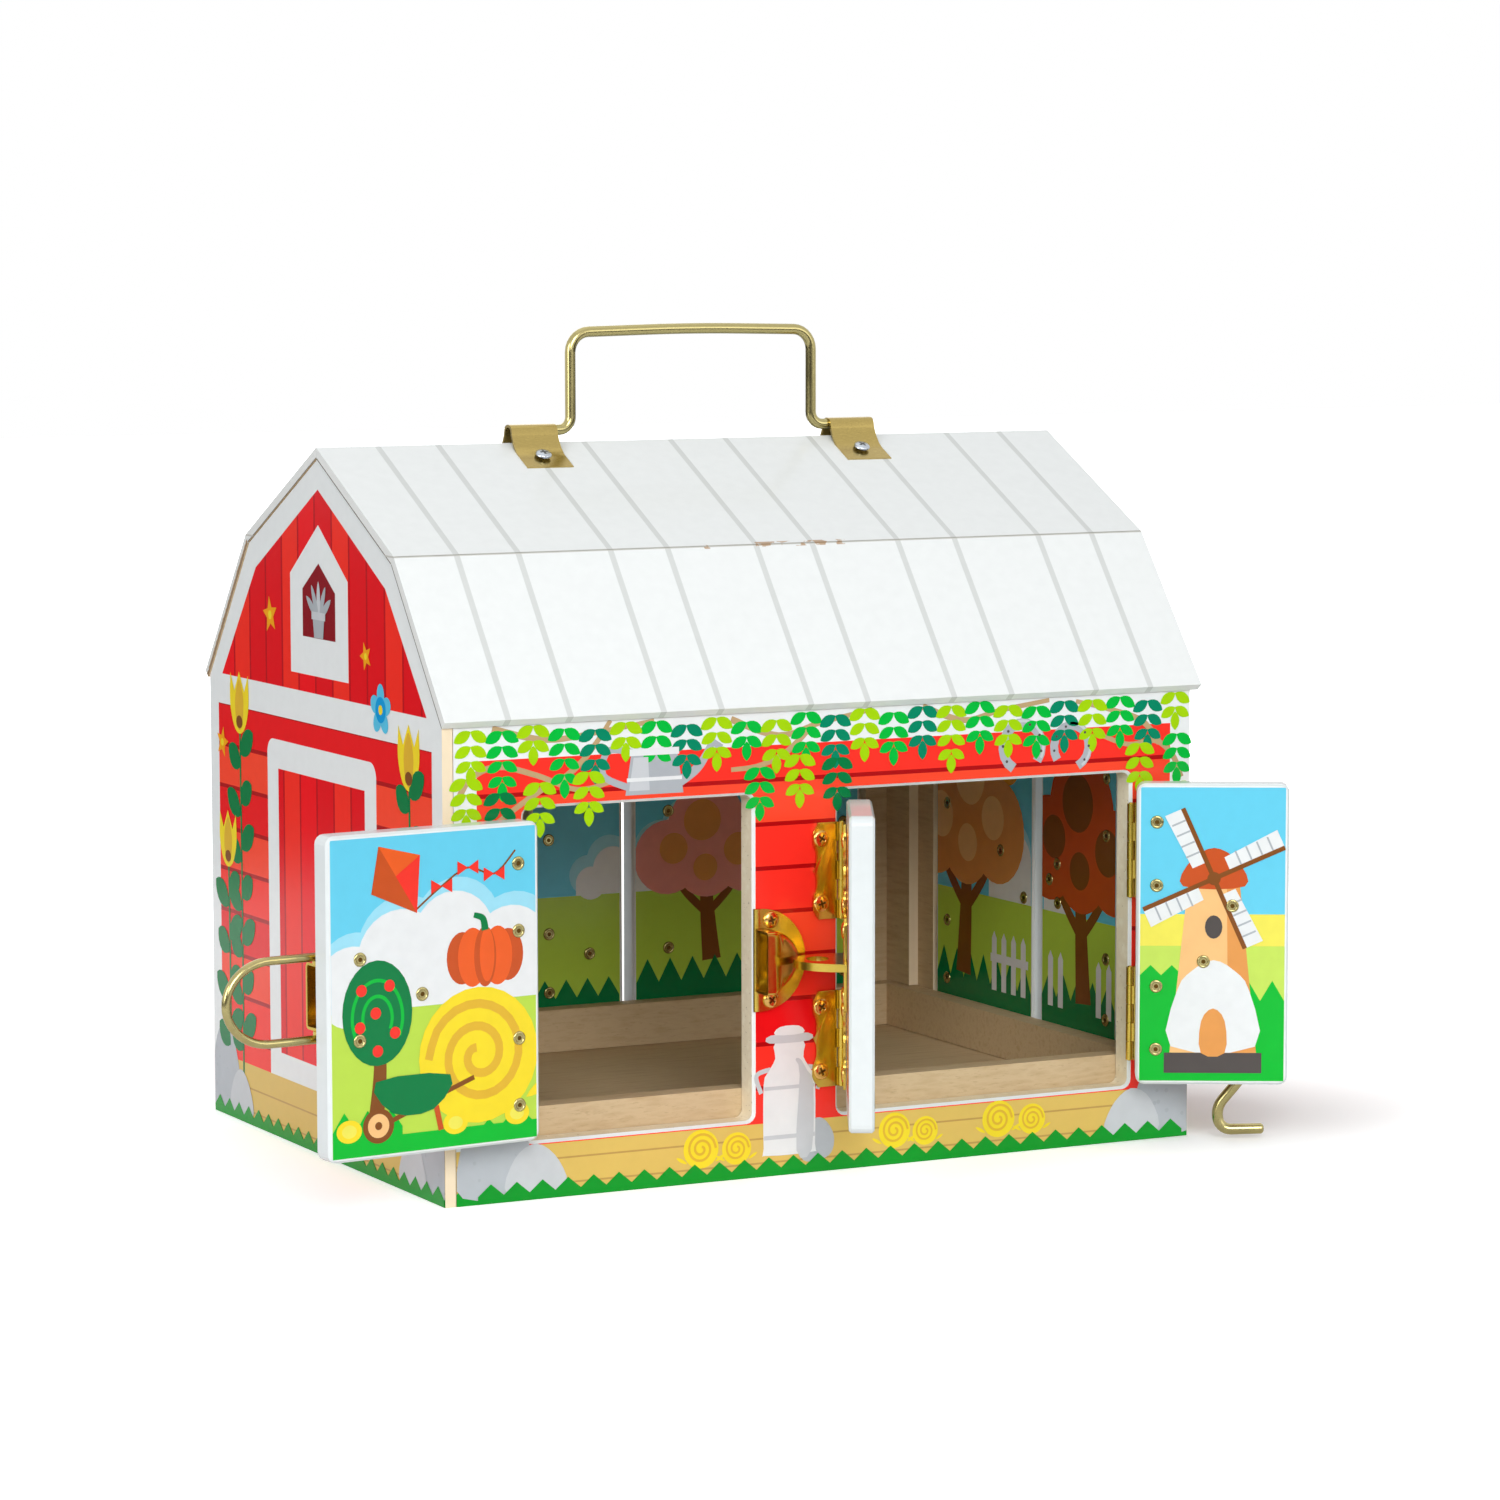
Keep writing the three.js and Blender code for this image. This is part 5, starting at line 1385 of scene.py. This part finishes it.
BRASS = metal("brass", (234, 206, 96), (166, 126, 38), 0.15)
SADDLE_BRASS = metal("saddle_brass", (196, 174, 106), (116, 92, 44), 0.15)
WIRE_BRASS = metal("wire_brass", (196, 184, 128), (108, 94, 50), 0.12)
BRASS_SCREW = metal("brass_screw", (244, 200, 116), (170, 108, 34), 0.12, cross=True)
ZINC_SCREW = metal("zinc_screw", (205, 212, 220), (120, 128, 138), 0.2, cross=True)
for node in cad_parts:
    if node.startswith(("bolt", "back_hook", "latch", "hook", "cabin")) or "hinge" in node:
        dress(node, BRASS)


class Metalwork:
    """One bent or cast piece, made on a board's face or along a wire's path."""

    def __init__(self, name, face, body=None):
        self.name = name
        self.face = face
        self.body = body or face.body
        self.mesh = bmesh.new()

    def at(self, point):
        return self.face.at(*point) if self.face else Vector(point) * MM

    def corner(self, point):
        return self.mesh.verts.new(self.at(point))

    def walls(self, near, far):
        """the faces between two rings of corners"""
        for i in range(len(near)):
            j = (i + 1) % len(near)
            self.mesh.faces.new((near[i], near[j], far[j], far[i]))

    def slab(self, outline, low, high, rim=0.22, on_edge=False):
        """a flat plate between two levels, its upper rim rounded; on edge it stands out"""
        rings = [[self.corner((a, level, b) if on_edge else (a, b, level)) for a, b in outline]
                 for level in (low, high)]
        self.mesh.faces.new(rings[0][::-1])
        upper = self.mesh.faces.new(rings[1])
        self.walls(*rings)
        if rim:
            bmesh.ops.bevel(self.mesh, geom=upper.edges[:], offset=rim * MM, segments=2,
                            affect="EDGES", profile=0.5)

    def tube(self, path, radius, sides=16, closed=False, round_ends=True):
        """a round wire along a path, its ends rounded off"""
        points = [self.at(point) for point in path]
        radii = [radius * MM] * len(points)
        if round_ends and not closed:
            for _ in (0, 1):
                tip = points[0]
                way = (points[1] - tip).normalized() * radius * MM
                points[:1] = [tip + way * along for along, _ in END_SHARES]
                radii[:1] = [radius * MM * wide for _, wide in END_SHARES]
                points.reverse()
                radii.reverse()
        count = len(points)
        rings = []
        side = None
        for index, (here, reach) in enumerate(zip(points, radii)):
            if closed:
                way = points[(index + 1) % count] - points[index - 1]
            else:
                way = points[min(count - 1, index + 1)] - points[max(0, index - 1)]
            way.normalize()
            side = side or way.orthogonal()
            side = (side - way * side.dot(way)).normalized()
            up = way.cross(side)
            rings.append([self.mesh.verts.new(here + side * a + up * b)
                          for a, b in arc(0, 0, reach, reach, 0, 360, sides)[:-1]])
        for near, far in zip(rings, rings[1:]):
            self.walls(near, far)
        if closed:
            self.walls(rings[-1], rings[0])
        else:
            self.mesh.faces.new(rings[0][::-1])
            self.mesh.faces.new(rings[-1])

    def sheet(self, rows, thick):
        """a skin through rows of points, given a thickness on its inner side"""
        grid = [[self.corner(point) for point in row] for row in rows]
        made = []
        for near, far in zip(grid, grid[1:]):
            for i in range(len(near) - 1):
                made.append(self.mesh.faces.new((near[i], near[i + 1], far[i + 1], far[i])))
        self.mesh.normal_update()
        bmesh.ops.solidify(self.mesh, geom=made, thickness=thick * MM)

    def done(self, material, node):
        bmesh.ops.remove_doubles(self.mesh, verts=self.mesh.verts[:], dist=1e-7)
        bmesh.ops.recalc_face_normals(self.mesh, faces=self.mesh.faces[:])
        data = bpy.data.meshes.new(self.name)
        self.mesh.to_mesh(data)
        self.mesh.free()
        data.materials.append(material)
        data.shade_smooth()
        data.set_sharp_from_angle(angle=math.radians(SHARP_ANGLE))
        made = add_object(self.name, data)
        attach(made, self.body)
        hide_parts(node)


def bent(points, bends, steps=7):
    """a path with each inner corner rounded to its bend"""
    points = [Vector(point) for point in points]
    path = [points[0]]
    for before, here, ahead, bend in zip(points, points[1:], points[2:], bends):
        back = (before - here).normalized()
        on = (ahead - here).normalized()
        half = back.angle(on) / 2
        reach = min(bend / math.tan(half), (before - here).length * 0.49,
                    (ahead - here).length * 0.49)
        radius = reach * math.tan(half)
        middle = here + (back + on).normalized() * (radius / math.sin(half))
        start = (here + back * reach - middle).normalized()
        end = (here + on * reach - middle).normalized()
        for step in range(steps + 1):
            path.append(middle + start.slerp(end, step / steps).normalized() * radius)
    return [tuple(point) for point in path + [points[-1]]]


# Screws
# Domed wood screws with a crossed slot, brass on the plates and zinc on the saddles. One node
# tree copies the heads onto each board.
SCREW_RADIUS = 3.25


def screw_tree():
    t = Tree("screw_heads", {"Head radius": SCREW_RADIUS * MM, "Head height": 1.0 * MM},
             ("Finish",))
    wide, tall = t.sizes("Head radius", "Head height")
    ball = t.out("GeometryNodeMeshUVSphere", Segments=24, Rings=12, Radius=1.0)
    place = t.out("GeometryNodeInputPosition")
    x, y, z = t.parts(place)
    below = t.out("FunctionNodeCompare", z, -0.05,
                  settings={"data_type": "FLOAT", "operation": "LESS_THAN"})
    dome = t.out("GeometryNodeDeleteGeometry", Geometry=ball, Selection=below)
    dome = t.marked(dome, "head_spot", "FLOAT_VECTOR", "POINT", place)
    high = z.either(0.0).math("POWER", 0.7)
    shaped = t.out("GeometryNodeSetPosition", Geometry=dome,
                   Position=t.vector(x * wide, y * wide, high * tall))
    return t.end(t.paint(t.stand(t.out("GeometryNodeSetShadeSmooth", shaped)), "Finish"))


SCREW_HEADS = screw_tree()
spin_dice = random.Random(11)


def on_face(face, along, up, out):
    """a spot for a copy that stands on a face"""
    lean = face.normal.to_track_quat("Z", "Y")
    spun = lean @ Quaternion((0, 0, 1), spin_dice.uniform(0, math.pi))
    return face.at(along, up, out), tuple(spun.to_euler()), 1.0, 0


def set_screws(name, body, spots, finish=None, height=0.95):
    bake(name, SCREW_HEADS, spots, {"Head height": height * MM,
                                    "Finish": finish or BRASS_SCREW}, body, "brass")


# Hinges
# Two pressed brass butt hinges a door: a wavy-edged leaf is screwed to the wall and another to
# the door, and their rolled knuckles turn on one pin.
GLUE_GAP = 0.3
HINGE_TALL = 37
HINGE_HALF = HINGE_TALL / 2
HINGE_WIDE = 12
HINGE_THICK = 0.9
KNUCKLE_RADIUS = 1.45
KNUCKLE_GAP = 0.25
KNUCKLES = 5
ROUND_OFF = 0.15
ROLL_ON = 0.9
PIN_RADIUS = 0.7 * 1.3
PIN_OVER = 0.35
HINGE_SCREW_IN = 8.5
HINGE_SCREW_HALF = 12.4
HINGE_LOW = 51.2
HINGE_HIGH = 115.6
END_HINGE_HIGH = 125.6
HINGE_BULGE = ((-2.4, -HINGE_HALF), (-1.5, 1.3 - HINGE_HALF), (-0.2, 3.6 - HINGE_HALF),
               (0, -HINGE_SCREW_HALF), (-0.2, 8.6 - HINGE_HALF), (-0.5, 9.6 - HINGE_HALF))
HINGE_SCALLOP = ((-0.5, 9.6 - HINGE_HALF), (-1.3, 11.2 - HINGE_HALF),
                 (-1.5, 4.6 - HINGE_HALF / 2), (-1.2, -2), (-0.3, 0))


def hinge_outline(middle):
    lower = smooth(HINGE_BULGE, False, 3)[:-1] + smooth(HINGE_SCALLOP, False, 3)
    edge = [(HINGE_WIDE + a, b) for a, b in lower + [(a, -b) for a, b in lower[-2::-1]]]
    near = KNUCKLE_RADIUS + KNUCKLE_GAP
    return [(a, middle + b) for a, b in [(near, -HINGE_HALF)] + edge + [(near, HINGE_HALF)]]


def hinge_leaf(name, face, middle, first):
    """a plate and every second knuckle; the leaf with the first knuckle has the pin too"""
    work = Metalwork(f"{name}_shape", face)
    high = GLUE_GAP + HINGE_THICK
    work.slab(hinge_outline(middle), GLUE_GAP, high, 0.2)
    pitch = HINGE_TALL / KNUCKLES
    for index in range(first, KNUCKLES, 2):
        start = middle - HINGE_HALF + index * pitch + KNUCKLE_GAP / 2
        end = start + pitch - KNUCKLE_GAP
        work.tube([(0, up, KNUCKLE_OUT) for up in (start, start + ROUND_OFF, end - ROUND_OFF,
                                                   end)], KNUCKLE_RADIUS, 18, round_ends=False)
        work.slab(rectangle(KNUCKLE_RADIUS * 0.6, start, KNUCKLE_RADIUS + ROLL_ON, end),
                  GLUE_GAP, high, 0)
    if first == 0:
        reach = HINGE_HALF + PIN_OVER
        work.tube([(0, middle + side * reach, KNUCKLE_OUT) for side in (-1, 1)], PIN_RADIUS, 12)
    work.done(BRASS, name)


screw_spots = {}
for door, leaf in LEAVES.items():
    high = END_HINGE_HIGH if door.startswith("end") else HINGE_HIGH
    for level, middle in (("lower", HINGE_LOW), ("upper", high)):
        hinge_leaf(f"{door}_{level}_hinge_wall_leaf", leaf.wall, middle, 0)
        hinge_leaf(f"{door}_{level}_hinge_door_leaf", leaf, middle, 1)
        for face in (leaf.wall, leaf):
            for side in (-1, 1):
                screw_spots.setdefault(face.body, []).append(on_face(
                    face, HINGE_SCREW_IN, middle + side * HINGE_SCREW_HALF,
                    GLUE_GAP + HINGE_THICK))
for body, spots in screw_spots.items():
    set_screws(f"hinge_screws_{body}", body, spots)

# Carrying handle
# One thick brass wire, bent to a flat arch with a slightly bowed grip. Its feet turn outwards
# and swing under two saddles on the ridge.
HANDLE_PIVOT = 279.19
HANDLE_TOP = 318.29
HANDLE_BOW = 1.2
HANDLE_LEG = 53.15
HANDLE_FOOT = 76.15
HANDLE_RADIUS = 2.1
HANDLE_BENDS = (5, 8, 900, 8, 5)
handle = Metalwork("carry_handle_wire", None, "handle")
half_handle = [(HANDLE_FOOT, 0, HANDLE_PIVOT), (HANDLE_LEG, 0, HANDLE_PIVOT),
               (HANDLE_LEG, 0, HANDLE_TOP - HANDLE_BOW)]
handle.tube(bent([(-x, y, z) for x, y, z in half_handle] + [(0, 0, HANDLE_TOP)]
                 + half_handle[::-1], HANDLE_BENDS), HANDLE_RADIUS, 20)
handle.done(WIRE_BRASS, "carry_handle")

# Handle saddles
# A strip of brass sheet, bent over each foot of the handle and down both slopes of the roof, and
# held by a zinc screw a side.
SADDLE_NEAR = 60.35
SADDLE_FAR = 80.05
SADDLE_ROUND = 0.5
SADDLE_THICK = 1.1
SADDLE_REACH = 18.4
SADDLE_INNER = 2.45
SADDLE_ARCH = 3.5
SADDLE_LIFT = GLUE_GAP + 0.05
SADDLE_FLAT = ((12.5, 0), (10, 0.05), (7.6, 0.7))
SADDLE_THROAT = ((5.2, -4.2), (3.9, -1.5))
RIDGE = 270.0
ROOF_TOP = 4.1
SLOPE_RISE, SLOPE_RUN = SLOPES["upper"]
SADDLE_SCREW_DOWN = 13 * SLOPE_RUN


def on_slope(y, lift):
    """the height of the upper slope at y, lifted straight off the board"""
    return RIDGE + (ROOF_TOP + lift) / SLOPE_RUN - abs(y) * SLOPE_RISE / SLOPE_RUN


half_saddle = [(SADDLE_REACH, on_slope(SADDLE_REACH, SADDLE_LIFT))]
half_saddle += smooth([(y, on_slope(y, SADDLE_LIFT + lift)) for y, lift in SADDLE_FLAT]
                      + [(y, HANDLE_PIVOT + z) for y, z in SADDLE_THROAT], False, 4)
half_saddle += arc(0, HANDLE_PIVOT, SADDLE_ARCH, SADDLE_INNER, 15, 90, 5)
soft_saddle = [(-y, z) for y, z in half_saddle] + half_saddle[-2::-1]
for name, side in (("handle_saddle_left", -1), ("handle_saddle_right", 1)):
    saddle = Metalwork(f"{name}_strip", None, "barn_body")
    saddle.sheet([[(side * x, y, z) for y, z in soft_saddle] for x in (
        SADDLE_NEAR, SADDLE_NEAR + SADDLE_ROUND, SADDLE_FAR - SADDLE_ROUND, SADDLE_FAR)],
        -side * SADDLE_THICK)
    saddle.done(SADDLE_BRASS, name)
saddle_spots = []
for x in (-1, 1):
    for y in (-1, 1):
        place = Vector((x * (SADDLE_NEAR + SADDLE_FAR) / 2, y * SADDLE_SCREW_DOWN,
                        on_slope(SADDLE_SCREW_DOWN, SADDLE_LIFT + SADDLE_THICK))) * MM
        slope = Vector((0, y * SLOPE_RISE, SLOPE_RUN))
        lean = slope.to_track_quat("Z", "Y") @ Quaternion((0, 0, 1), 0.5 + x + y)
        saddle_spots.append((place, tuple(lean.to_euler()), 1.0, 0))
set_screws("saddle_screws", "barn_body", saddle_spots, ZINC_SCREW, 1.3)

# Draw latch
# A pressed brass plate with two ears, screwed to the left door. Its hooded lever turns on a pin
# through the ears, and a wire loop hangs from the same pin.
LATCH_UP = 83.2
PLATE_TOP = 1.3
LATCH_EDGE = 89.0
LATCH_START = 45.0
LATCH_HALF = 19.5
LATCH_SCREWS = ((77, -14.9), (77, 14.9), (51.4, 0))
PIN_ALONG = 85.5
PIN_OUT = 4.4
PIN_HALF = 13.4
LOOP_WIRE = 1.6
LOOP_HALF = 15
LOOP_TIP = 13.7
LOOP_BENDS = (1.6,)
BOW_START = 106.2
BOW_LENGTH = 17.5
EAR_RADIUS = 2.75
EAR_INNER = 12.9
EAR_THICK = 1.4
HOOD_RISE = 9.4
HOOD_WALL = 1.0
HOOD_ROWS = 18
HOOD_STEPS = 24
LIP_SHARE = 0.2
LEVER_HOOD = (87.0, -25, 11.2, 2.05)
left_leaf = LEAVES["front_door_left"]


def d_plate(edge, reach, half, straight_share):
    """a plate's outline with one straight end and one bowed end"""
    bow = arc(edge + reach * straight_share, LATCH_UP, reach * (1 - straight_share), half,
              -90, 90, 22)
    return [(edge, LATCH_UP - half), *bow, (edge, LATCH_UP + half)]


def hood(work, edge, reach, half, base):
    """a pressed hood: a wide mouth that narrows to a creased beak"""
    rows = []
    for share in (step / HOOD_ROWS for step in range(HOOD_ROWS + 1)):
        past_lip = max(0.0, share - LIP_SHARE) / (1 - LIP_SHARE)
        wide = half * (1 - past_lip ** 1.9) ** 0.62
        tall = HOOD_RISE * (1 - past_lip ** 1.15) ** 0.9
        square = 1 / (1 + 14 * (1 - min(1.0, past_lip * 5)) + 1.2 * (1 - past_lip))
        row = []
        for step in range(HOOD_STEPS + 1):
            angle = math.pi * (step / HOOD_STEPS - 0.5)
            across = math.copysign(abs(math.sin(angle)) ** square, math.sin(angle))
            level = tall * max(0.0, math.cos(angle)) ** square
            row.append((edge + reach * share, LATCH_UP + wide * across, base + level))
        rows.append(row)
    work.sheet(rows, HOOD_WALL if (reach > 0) != work.face.mirrored else -HOOD_WALL)


latch = Metalwork("latch_plate_pressing", left_leaf)
latch.slab(d_plate(LATCH_EDGE, LATCH_START - LATCH_EDGE, LATCH_HALF, 0.5), GLUE_GAP, PLATE_TOP)
ear = [(PIN_ALONG + EAR_RADIUS, GLUE_GAP),
       *arc(PIN_ALONG, PIN_OUT, EAR_RADIUS, EAR_RADIUS, 0, 180, 12),
       (PIN_ALONG - EAR_RADIUS, GLUE_GAP)]
for side in (-1, 1):
    low = LATCH_UP + side * EAR_INNER - EAR_THICK / 2
    latch.slab(ear, low, low + EAR_THICK, 0, on_edge=True)
latch.done(BRASS, "latch_plate")
set_screws("latch_screws", left_leaf.body, [
    on_face(left_leaf, along, LATCH_UP + up, PLATE_TOP) for along, up in LATCH_SCREWS])
lever = Metalwork("latch_lever_hood", left_leaf, "lever")
hood(lever, *LEVER_HOOD)
lever.tube([(PIN_ALONG, LATCH_UP + side * PIN_HALF, PIN_OUT) for side in (-1, 1)], LOOP_WIRE, 14)
lever.done(BRASS, "latch_lever")
loop = Metalwork("latch_loop_wire", left_leaf, "loop")
bow = [(a, b, PIN_OUT) for a, b in arc(BOW_START, LATCH_UP, BOW_LENGTH, LOOP_HALF, 90, -90, 24)]
tips = [(PIN_ALONG, LATCH_UP + side * reach, PIN_OUT)
        for side in (1, -1) for reach in (LOOP_TIP, LOOP_HALF)]
loop.tube(bent([tips[0], tips[1], bow[0]], LOOP_BENDS, 4) + bow[1:-1]
          + bent([bow[-1], tips[3], tips[2]], LOOP_BENDS, 4), LOOP_WIRE, 16)
loop.done(WIRE_BRASS, "latch_loop")

# Latch keeper
# A pressed brass plate with a hood, screwed to the post, that the loop is drawn over when the
# door is shut.
KEEPER_EDGE = 93.9
KEEPER_REACH = 21.7
KEEPER_HALF = 19.6
KEEPER_HOOD = (KEEPER_EDGE + 0.3, 17.5, 11, 1.6)
KEEPER_SCREW_IN = 6.9
KEEPER_SCREW_HALF = 15.2
keeper_face = Face("barn_body", (-126.8, KNUCKLE_OUT - 118), (1, 0), (0, -1))
keeper = Metalwork("latch_keeper_pressing", keeper_face)
keeper.slab(d_plate(KEEPER_EDGE, KEEPER_REACH, KEEPER_HALF, 0.12), GLUE_GAP, PLATE_TOP)
hood(keeper, *KEEPER_HOOD)
keeper.done(BRASS, "latch_keeper")
set_screws("keeper_screws", "barn_body", [
    on_face(keeper_face, KEEPER_EDGE + KEEPER_SCREW_IN, LATCH_UP + side * KEEPER_SCREW_HALF,
            PLATE_TOP) for side in (-1, 1)], height=1.5)

# Cabin hook
# A hook bent from thick brass wire, whose ring turns on a headed stud. The stud stands on a round
# ended base plate, and two screws hold that to the right door.
HOOK_ALONG = 33.5
HOOK_UP = 75.5
HOOK_OUT = 10
HOOK_WIRE = 2.2
HOOK_PATH = ((45.6, 26), (34.6, 12.5), (36, 3.7), (53.4, 4.2))
HOOK_BENDS = (9, 9, 5)
POST_RADIUS = 1.9
POST_HEAD = 3.9
POST_TOP = HOOK_OUT + HOOK_WIRE
POST_LEVELS = (0.4, 0.65, 1.4, 1.7)
RING_PLAY = 0.4
BASE_PLACE = (33.7, 84.4)
BASE_TURN = 63
BASE_HALF = 11
BASE_ROUND = 7
BASE_SCREW = 12.3
right_leaf = LEAVES["front_door_right"]
hook = Metalwork("cabin_hook_wire", right_leaf, "front_hook")
ring_radius = POST_RADIUS + RING_PLAY + HOOK_WIRE
ring = arc(HOOK_ALONG, HOOK_UP, ring_radius, ring_radius, 0, 360, 24)[:-1]
hook.tube([(a, b, HOOK_OUT) for a, b in ring], HOOK_WIRE, 14, closed=True)
hook.tube(bent([(a, b, HOOK_OUT) for a, b in ((HOOK_ALONG, HOOK_UP - ring_radius), *HOOK_PATH)],
               HOOK_BENDS), HOOK_WIRE, 18)
hook.done(WIRE_BRASS, "cabin_hook")
base = Metalwork("hook_base_pressing", right_leaf)
slot = [point for side, start in ((1, -90), (-1, 90))
        for point in arc(side * BASE_HALF, 0, BASE_ROUND, BASE_ROUND, start, start + 180, 12)]
base.slab(turned(slot, *BASE_PLACE, BASE_TURN), GLUE_GAP, PLATE_TOP)
base.tube([(HOOK_ALONG, HOOK_UP, PLATE_TOP), (HOOK_ALONG, HOOK_UP, POST_TOP + 0.6)], POST_RADIUS,
          16, round_ends=False)
base.tube([(HOOK_ALONG, HOOK_UP, POST_TOP + level) for level in POST_LEVELS], POST_HEAD, 22,
          round_ends=False)
base.done(BRASS, "hook_base_plate")
set_screws("hook_base_screws", right_leaf.body, [
    on_face(right_leaf, *place, PLATE_TOP)
    for place in turned([(-BASE_SCREW, 0), (BASE_SCREW, 0)], *BASE_PLACE, BASE_TURN)])

# Eye plate
# A pressed brass plate, held to the middle door by two screws, with a level tongue that has a
# hole for the hook's tip.
EYE_ALONG = 20.3
EYE_UP = 83.1
EYE_CORNER = (25.3, 14.7)
EYE_ROUND = 3.5
EYE_WIDE = 41.6
EYE_SCREW = (20.8, 12.3)
TONGUE_SIZE = (15, 20)
TONGUE_HALF = 1.5
HOLE_OUT = 11.1
HOLE_SIZE = (6, 4.2)
middle_leaf = LEAVES["front_door_middle"]
eye = Metalwork("hook_eye_pressing", middle_leaf)
rounded = arc(*EYE_CORNER, EYE_ROUND, EYE_ROUND, 0, 90, 6)
half_plate = rounded + [(EYE_WIDE - a, b) for a, b in rounded[::-1]]
eye.slab([(a, EYE_UP + b) for a, b in half_plate] + [(a, EYE_UP - b) for a, b in half_plate[::-1]],
         GLUE_GAP, PLATE_TOP)
tongue_rings = (arc(EYE_ALONG, GLUE_GAP, *TONGUE_SIZE, 0, 180, 32),
                arc(EYE_ALONG, HOLE_OUT, *HOLE_SIZE, 0, 360, 32)[:-1])
tongue = bmesh.new()
levels = [[[tongue.verts.new((a, b, level)) for a, b in ring] for ring in tongue_rings]
          for level in (-TONGUE_HALF, TONGUE_HALF)]
for rings in levels:
    edges = [tongue.edges.new(pair) for ring in rings for pair in zip(ring, ring[1:] + ring[:1])]
    bmesh.ops.triangle_fill(tongue, use_beauty=True, use_dissolve=False, edges=edges)
for below, above in zip(*levels):
    for i in range(len(below)):
        j = (i + 1) % len(below)
        tongue.faces.new((below[i], below[j], above[j], above[i]))
stood = {vert: eye.corner((vert.co.x, EYE_UP + vert.co.z, vert.co.y)) for vert in tongue.verts}
for face in tongue.faces:
    eye.mesh.faces.new([stood[vert] for vert in face.verts])
tongue.free()
eye.done(BRASS, "hook_eye_plate")
set_screws("eye_screws", middle_leaf.body, [
    on_face(middle_leaf, EYE_SCREW[0], EYE_UP + side * EYE_SCREW[1], PLATE_TOP)
    for side in (-1, 1)])

# Rivets
# Flared brass cups on the doors' inner faces, where the hardware outside is clenched through the
# boards, each with a dark disc inside that paints the shade of its hollow. One node tree copies
# them onto each door.
CUP_RADIUS = 2.0
RIM_RADIUS = 0.62
CUP_FLOOR = 0.3
HOLE_LIFT = 0.36
HOLE_SHARE = 0.42
RIVET_LIFT = 0.05


def rivet_tree():
    t = Tree("rivet_cups", {"Cup radius": CUP_RADIUS * MM, "Rim radius": RIM_RADIUS * MM},
             ("Brass", "Hole"))
    wide, thick = t.sizes("Cup radius", "Rim radius")
    spine = t.out("GeometryNodeCurvePrimitiveCircle", Resolution=24, Radius=wide)
    rim = t.out("GeometryNodeCurvePrimitiveCircle", Resolution=10, Radius=thick)
    soft = t.out("GeometryNodeSetShadeSmooth",
                 t.out("GeometryNodeCurveToMesh", Curve=spine, Profile_Curve=rim))
    floor = t.moved(t.disc(20, wide), Translation=(0, 0, CUP_FLOOR * MM))
    # a dark disc sunk in the cup, painted shade standing in for the rivet's hollow
    hole = t.moved(t.disc(16, wide * HOLE_SHARE), Translation=(0, 0, HOLE_LIFT * MM))
    hole = t.marked(hole, "in_hole", "BOOLEAN", "FACE", True)
    shape = t.paint(t.stand(t.join(soft, floor, hole)), "Brass")
    return t.end(t.paint(shape, "Hole", t.attribute("in_hole", "BOOLEAN")))


RIVETS = rivet_tree()
HINGE_RIVET_UPS = (38.8, 63.6, 103.2, 128.0)
END_RIVET_UPS = (40, 64.7, 114.7, 138)
RIVET_SPOTS = {
    "front_door_left": (10.8, HINGE_RIVET_UPS, ((76.9, 98), (77.3, 68.5), (51.4, 83.4))),
    "front_door_middle": (10, HINGE_RIVET_UPS, ((20.8, 95.4), (20.8, 70.8))),
    "front_door_right": (9.8, HINGE_RIVET_UPS, ((39.2, 95.3), (28.1, 73.4))),
    "back_door_small": (10.5, HINGE_RIVET_UPS, ((29.2, 54.2), (29.2, 112.5))),
    "back_door_large": (10.5, HINGE_RIVET_UPS, ((94.3, 54.2), (94.3, 112.5))),
    "end_door_back": (11.9, END_RIVET_UPS, ((57, 99.4), (76.2, 81.9))),
    "end_door_front": (10.5, END_RIVET_UPS, ((49, 99), (48.5, 83), (55.2, 92))),
}
# the near-black brass for the hole discs is painted shade of each rivet's hollow
RIVET_HOLE_SHADE = metal("dark_brass", (112, 84, 36), (40, 26, 10), 0.3)
for door, (along, ups, others) in RIVET_SPOTS.items():
    inside = LEAVES[door].inside
    places = [(along, up) for up in ups] + list(others)
    bake(f"{door}_rivets", RIVETS, [on_face(inside, a, up, RIVET_LIFT) for a, up in places],
         {"Brass": WIRE_BRASS, "Hole": RIVET_HOLE_SHADE}, inside.body, "brass")
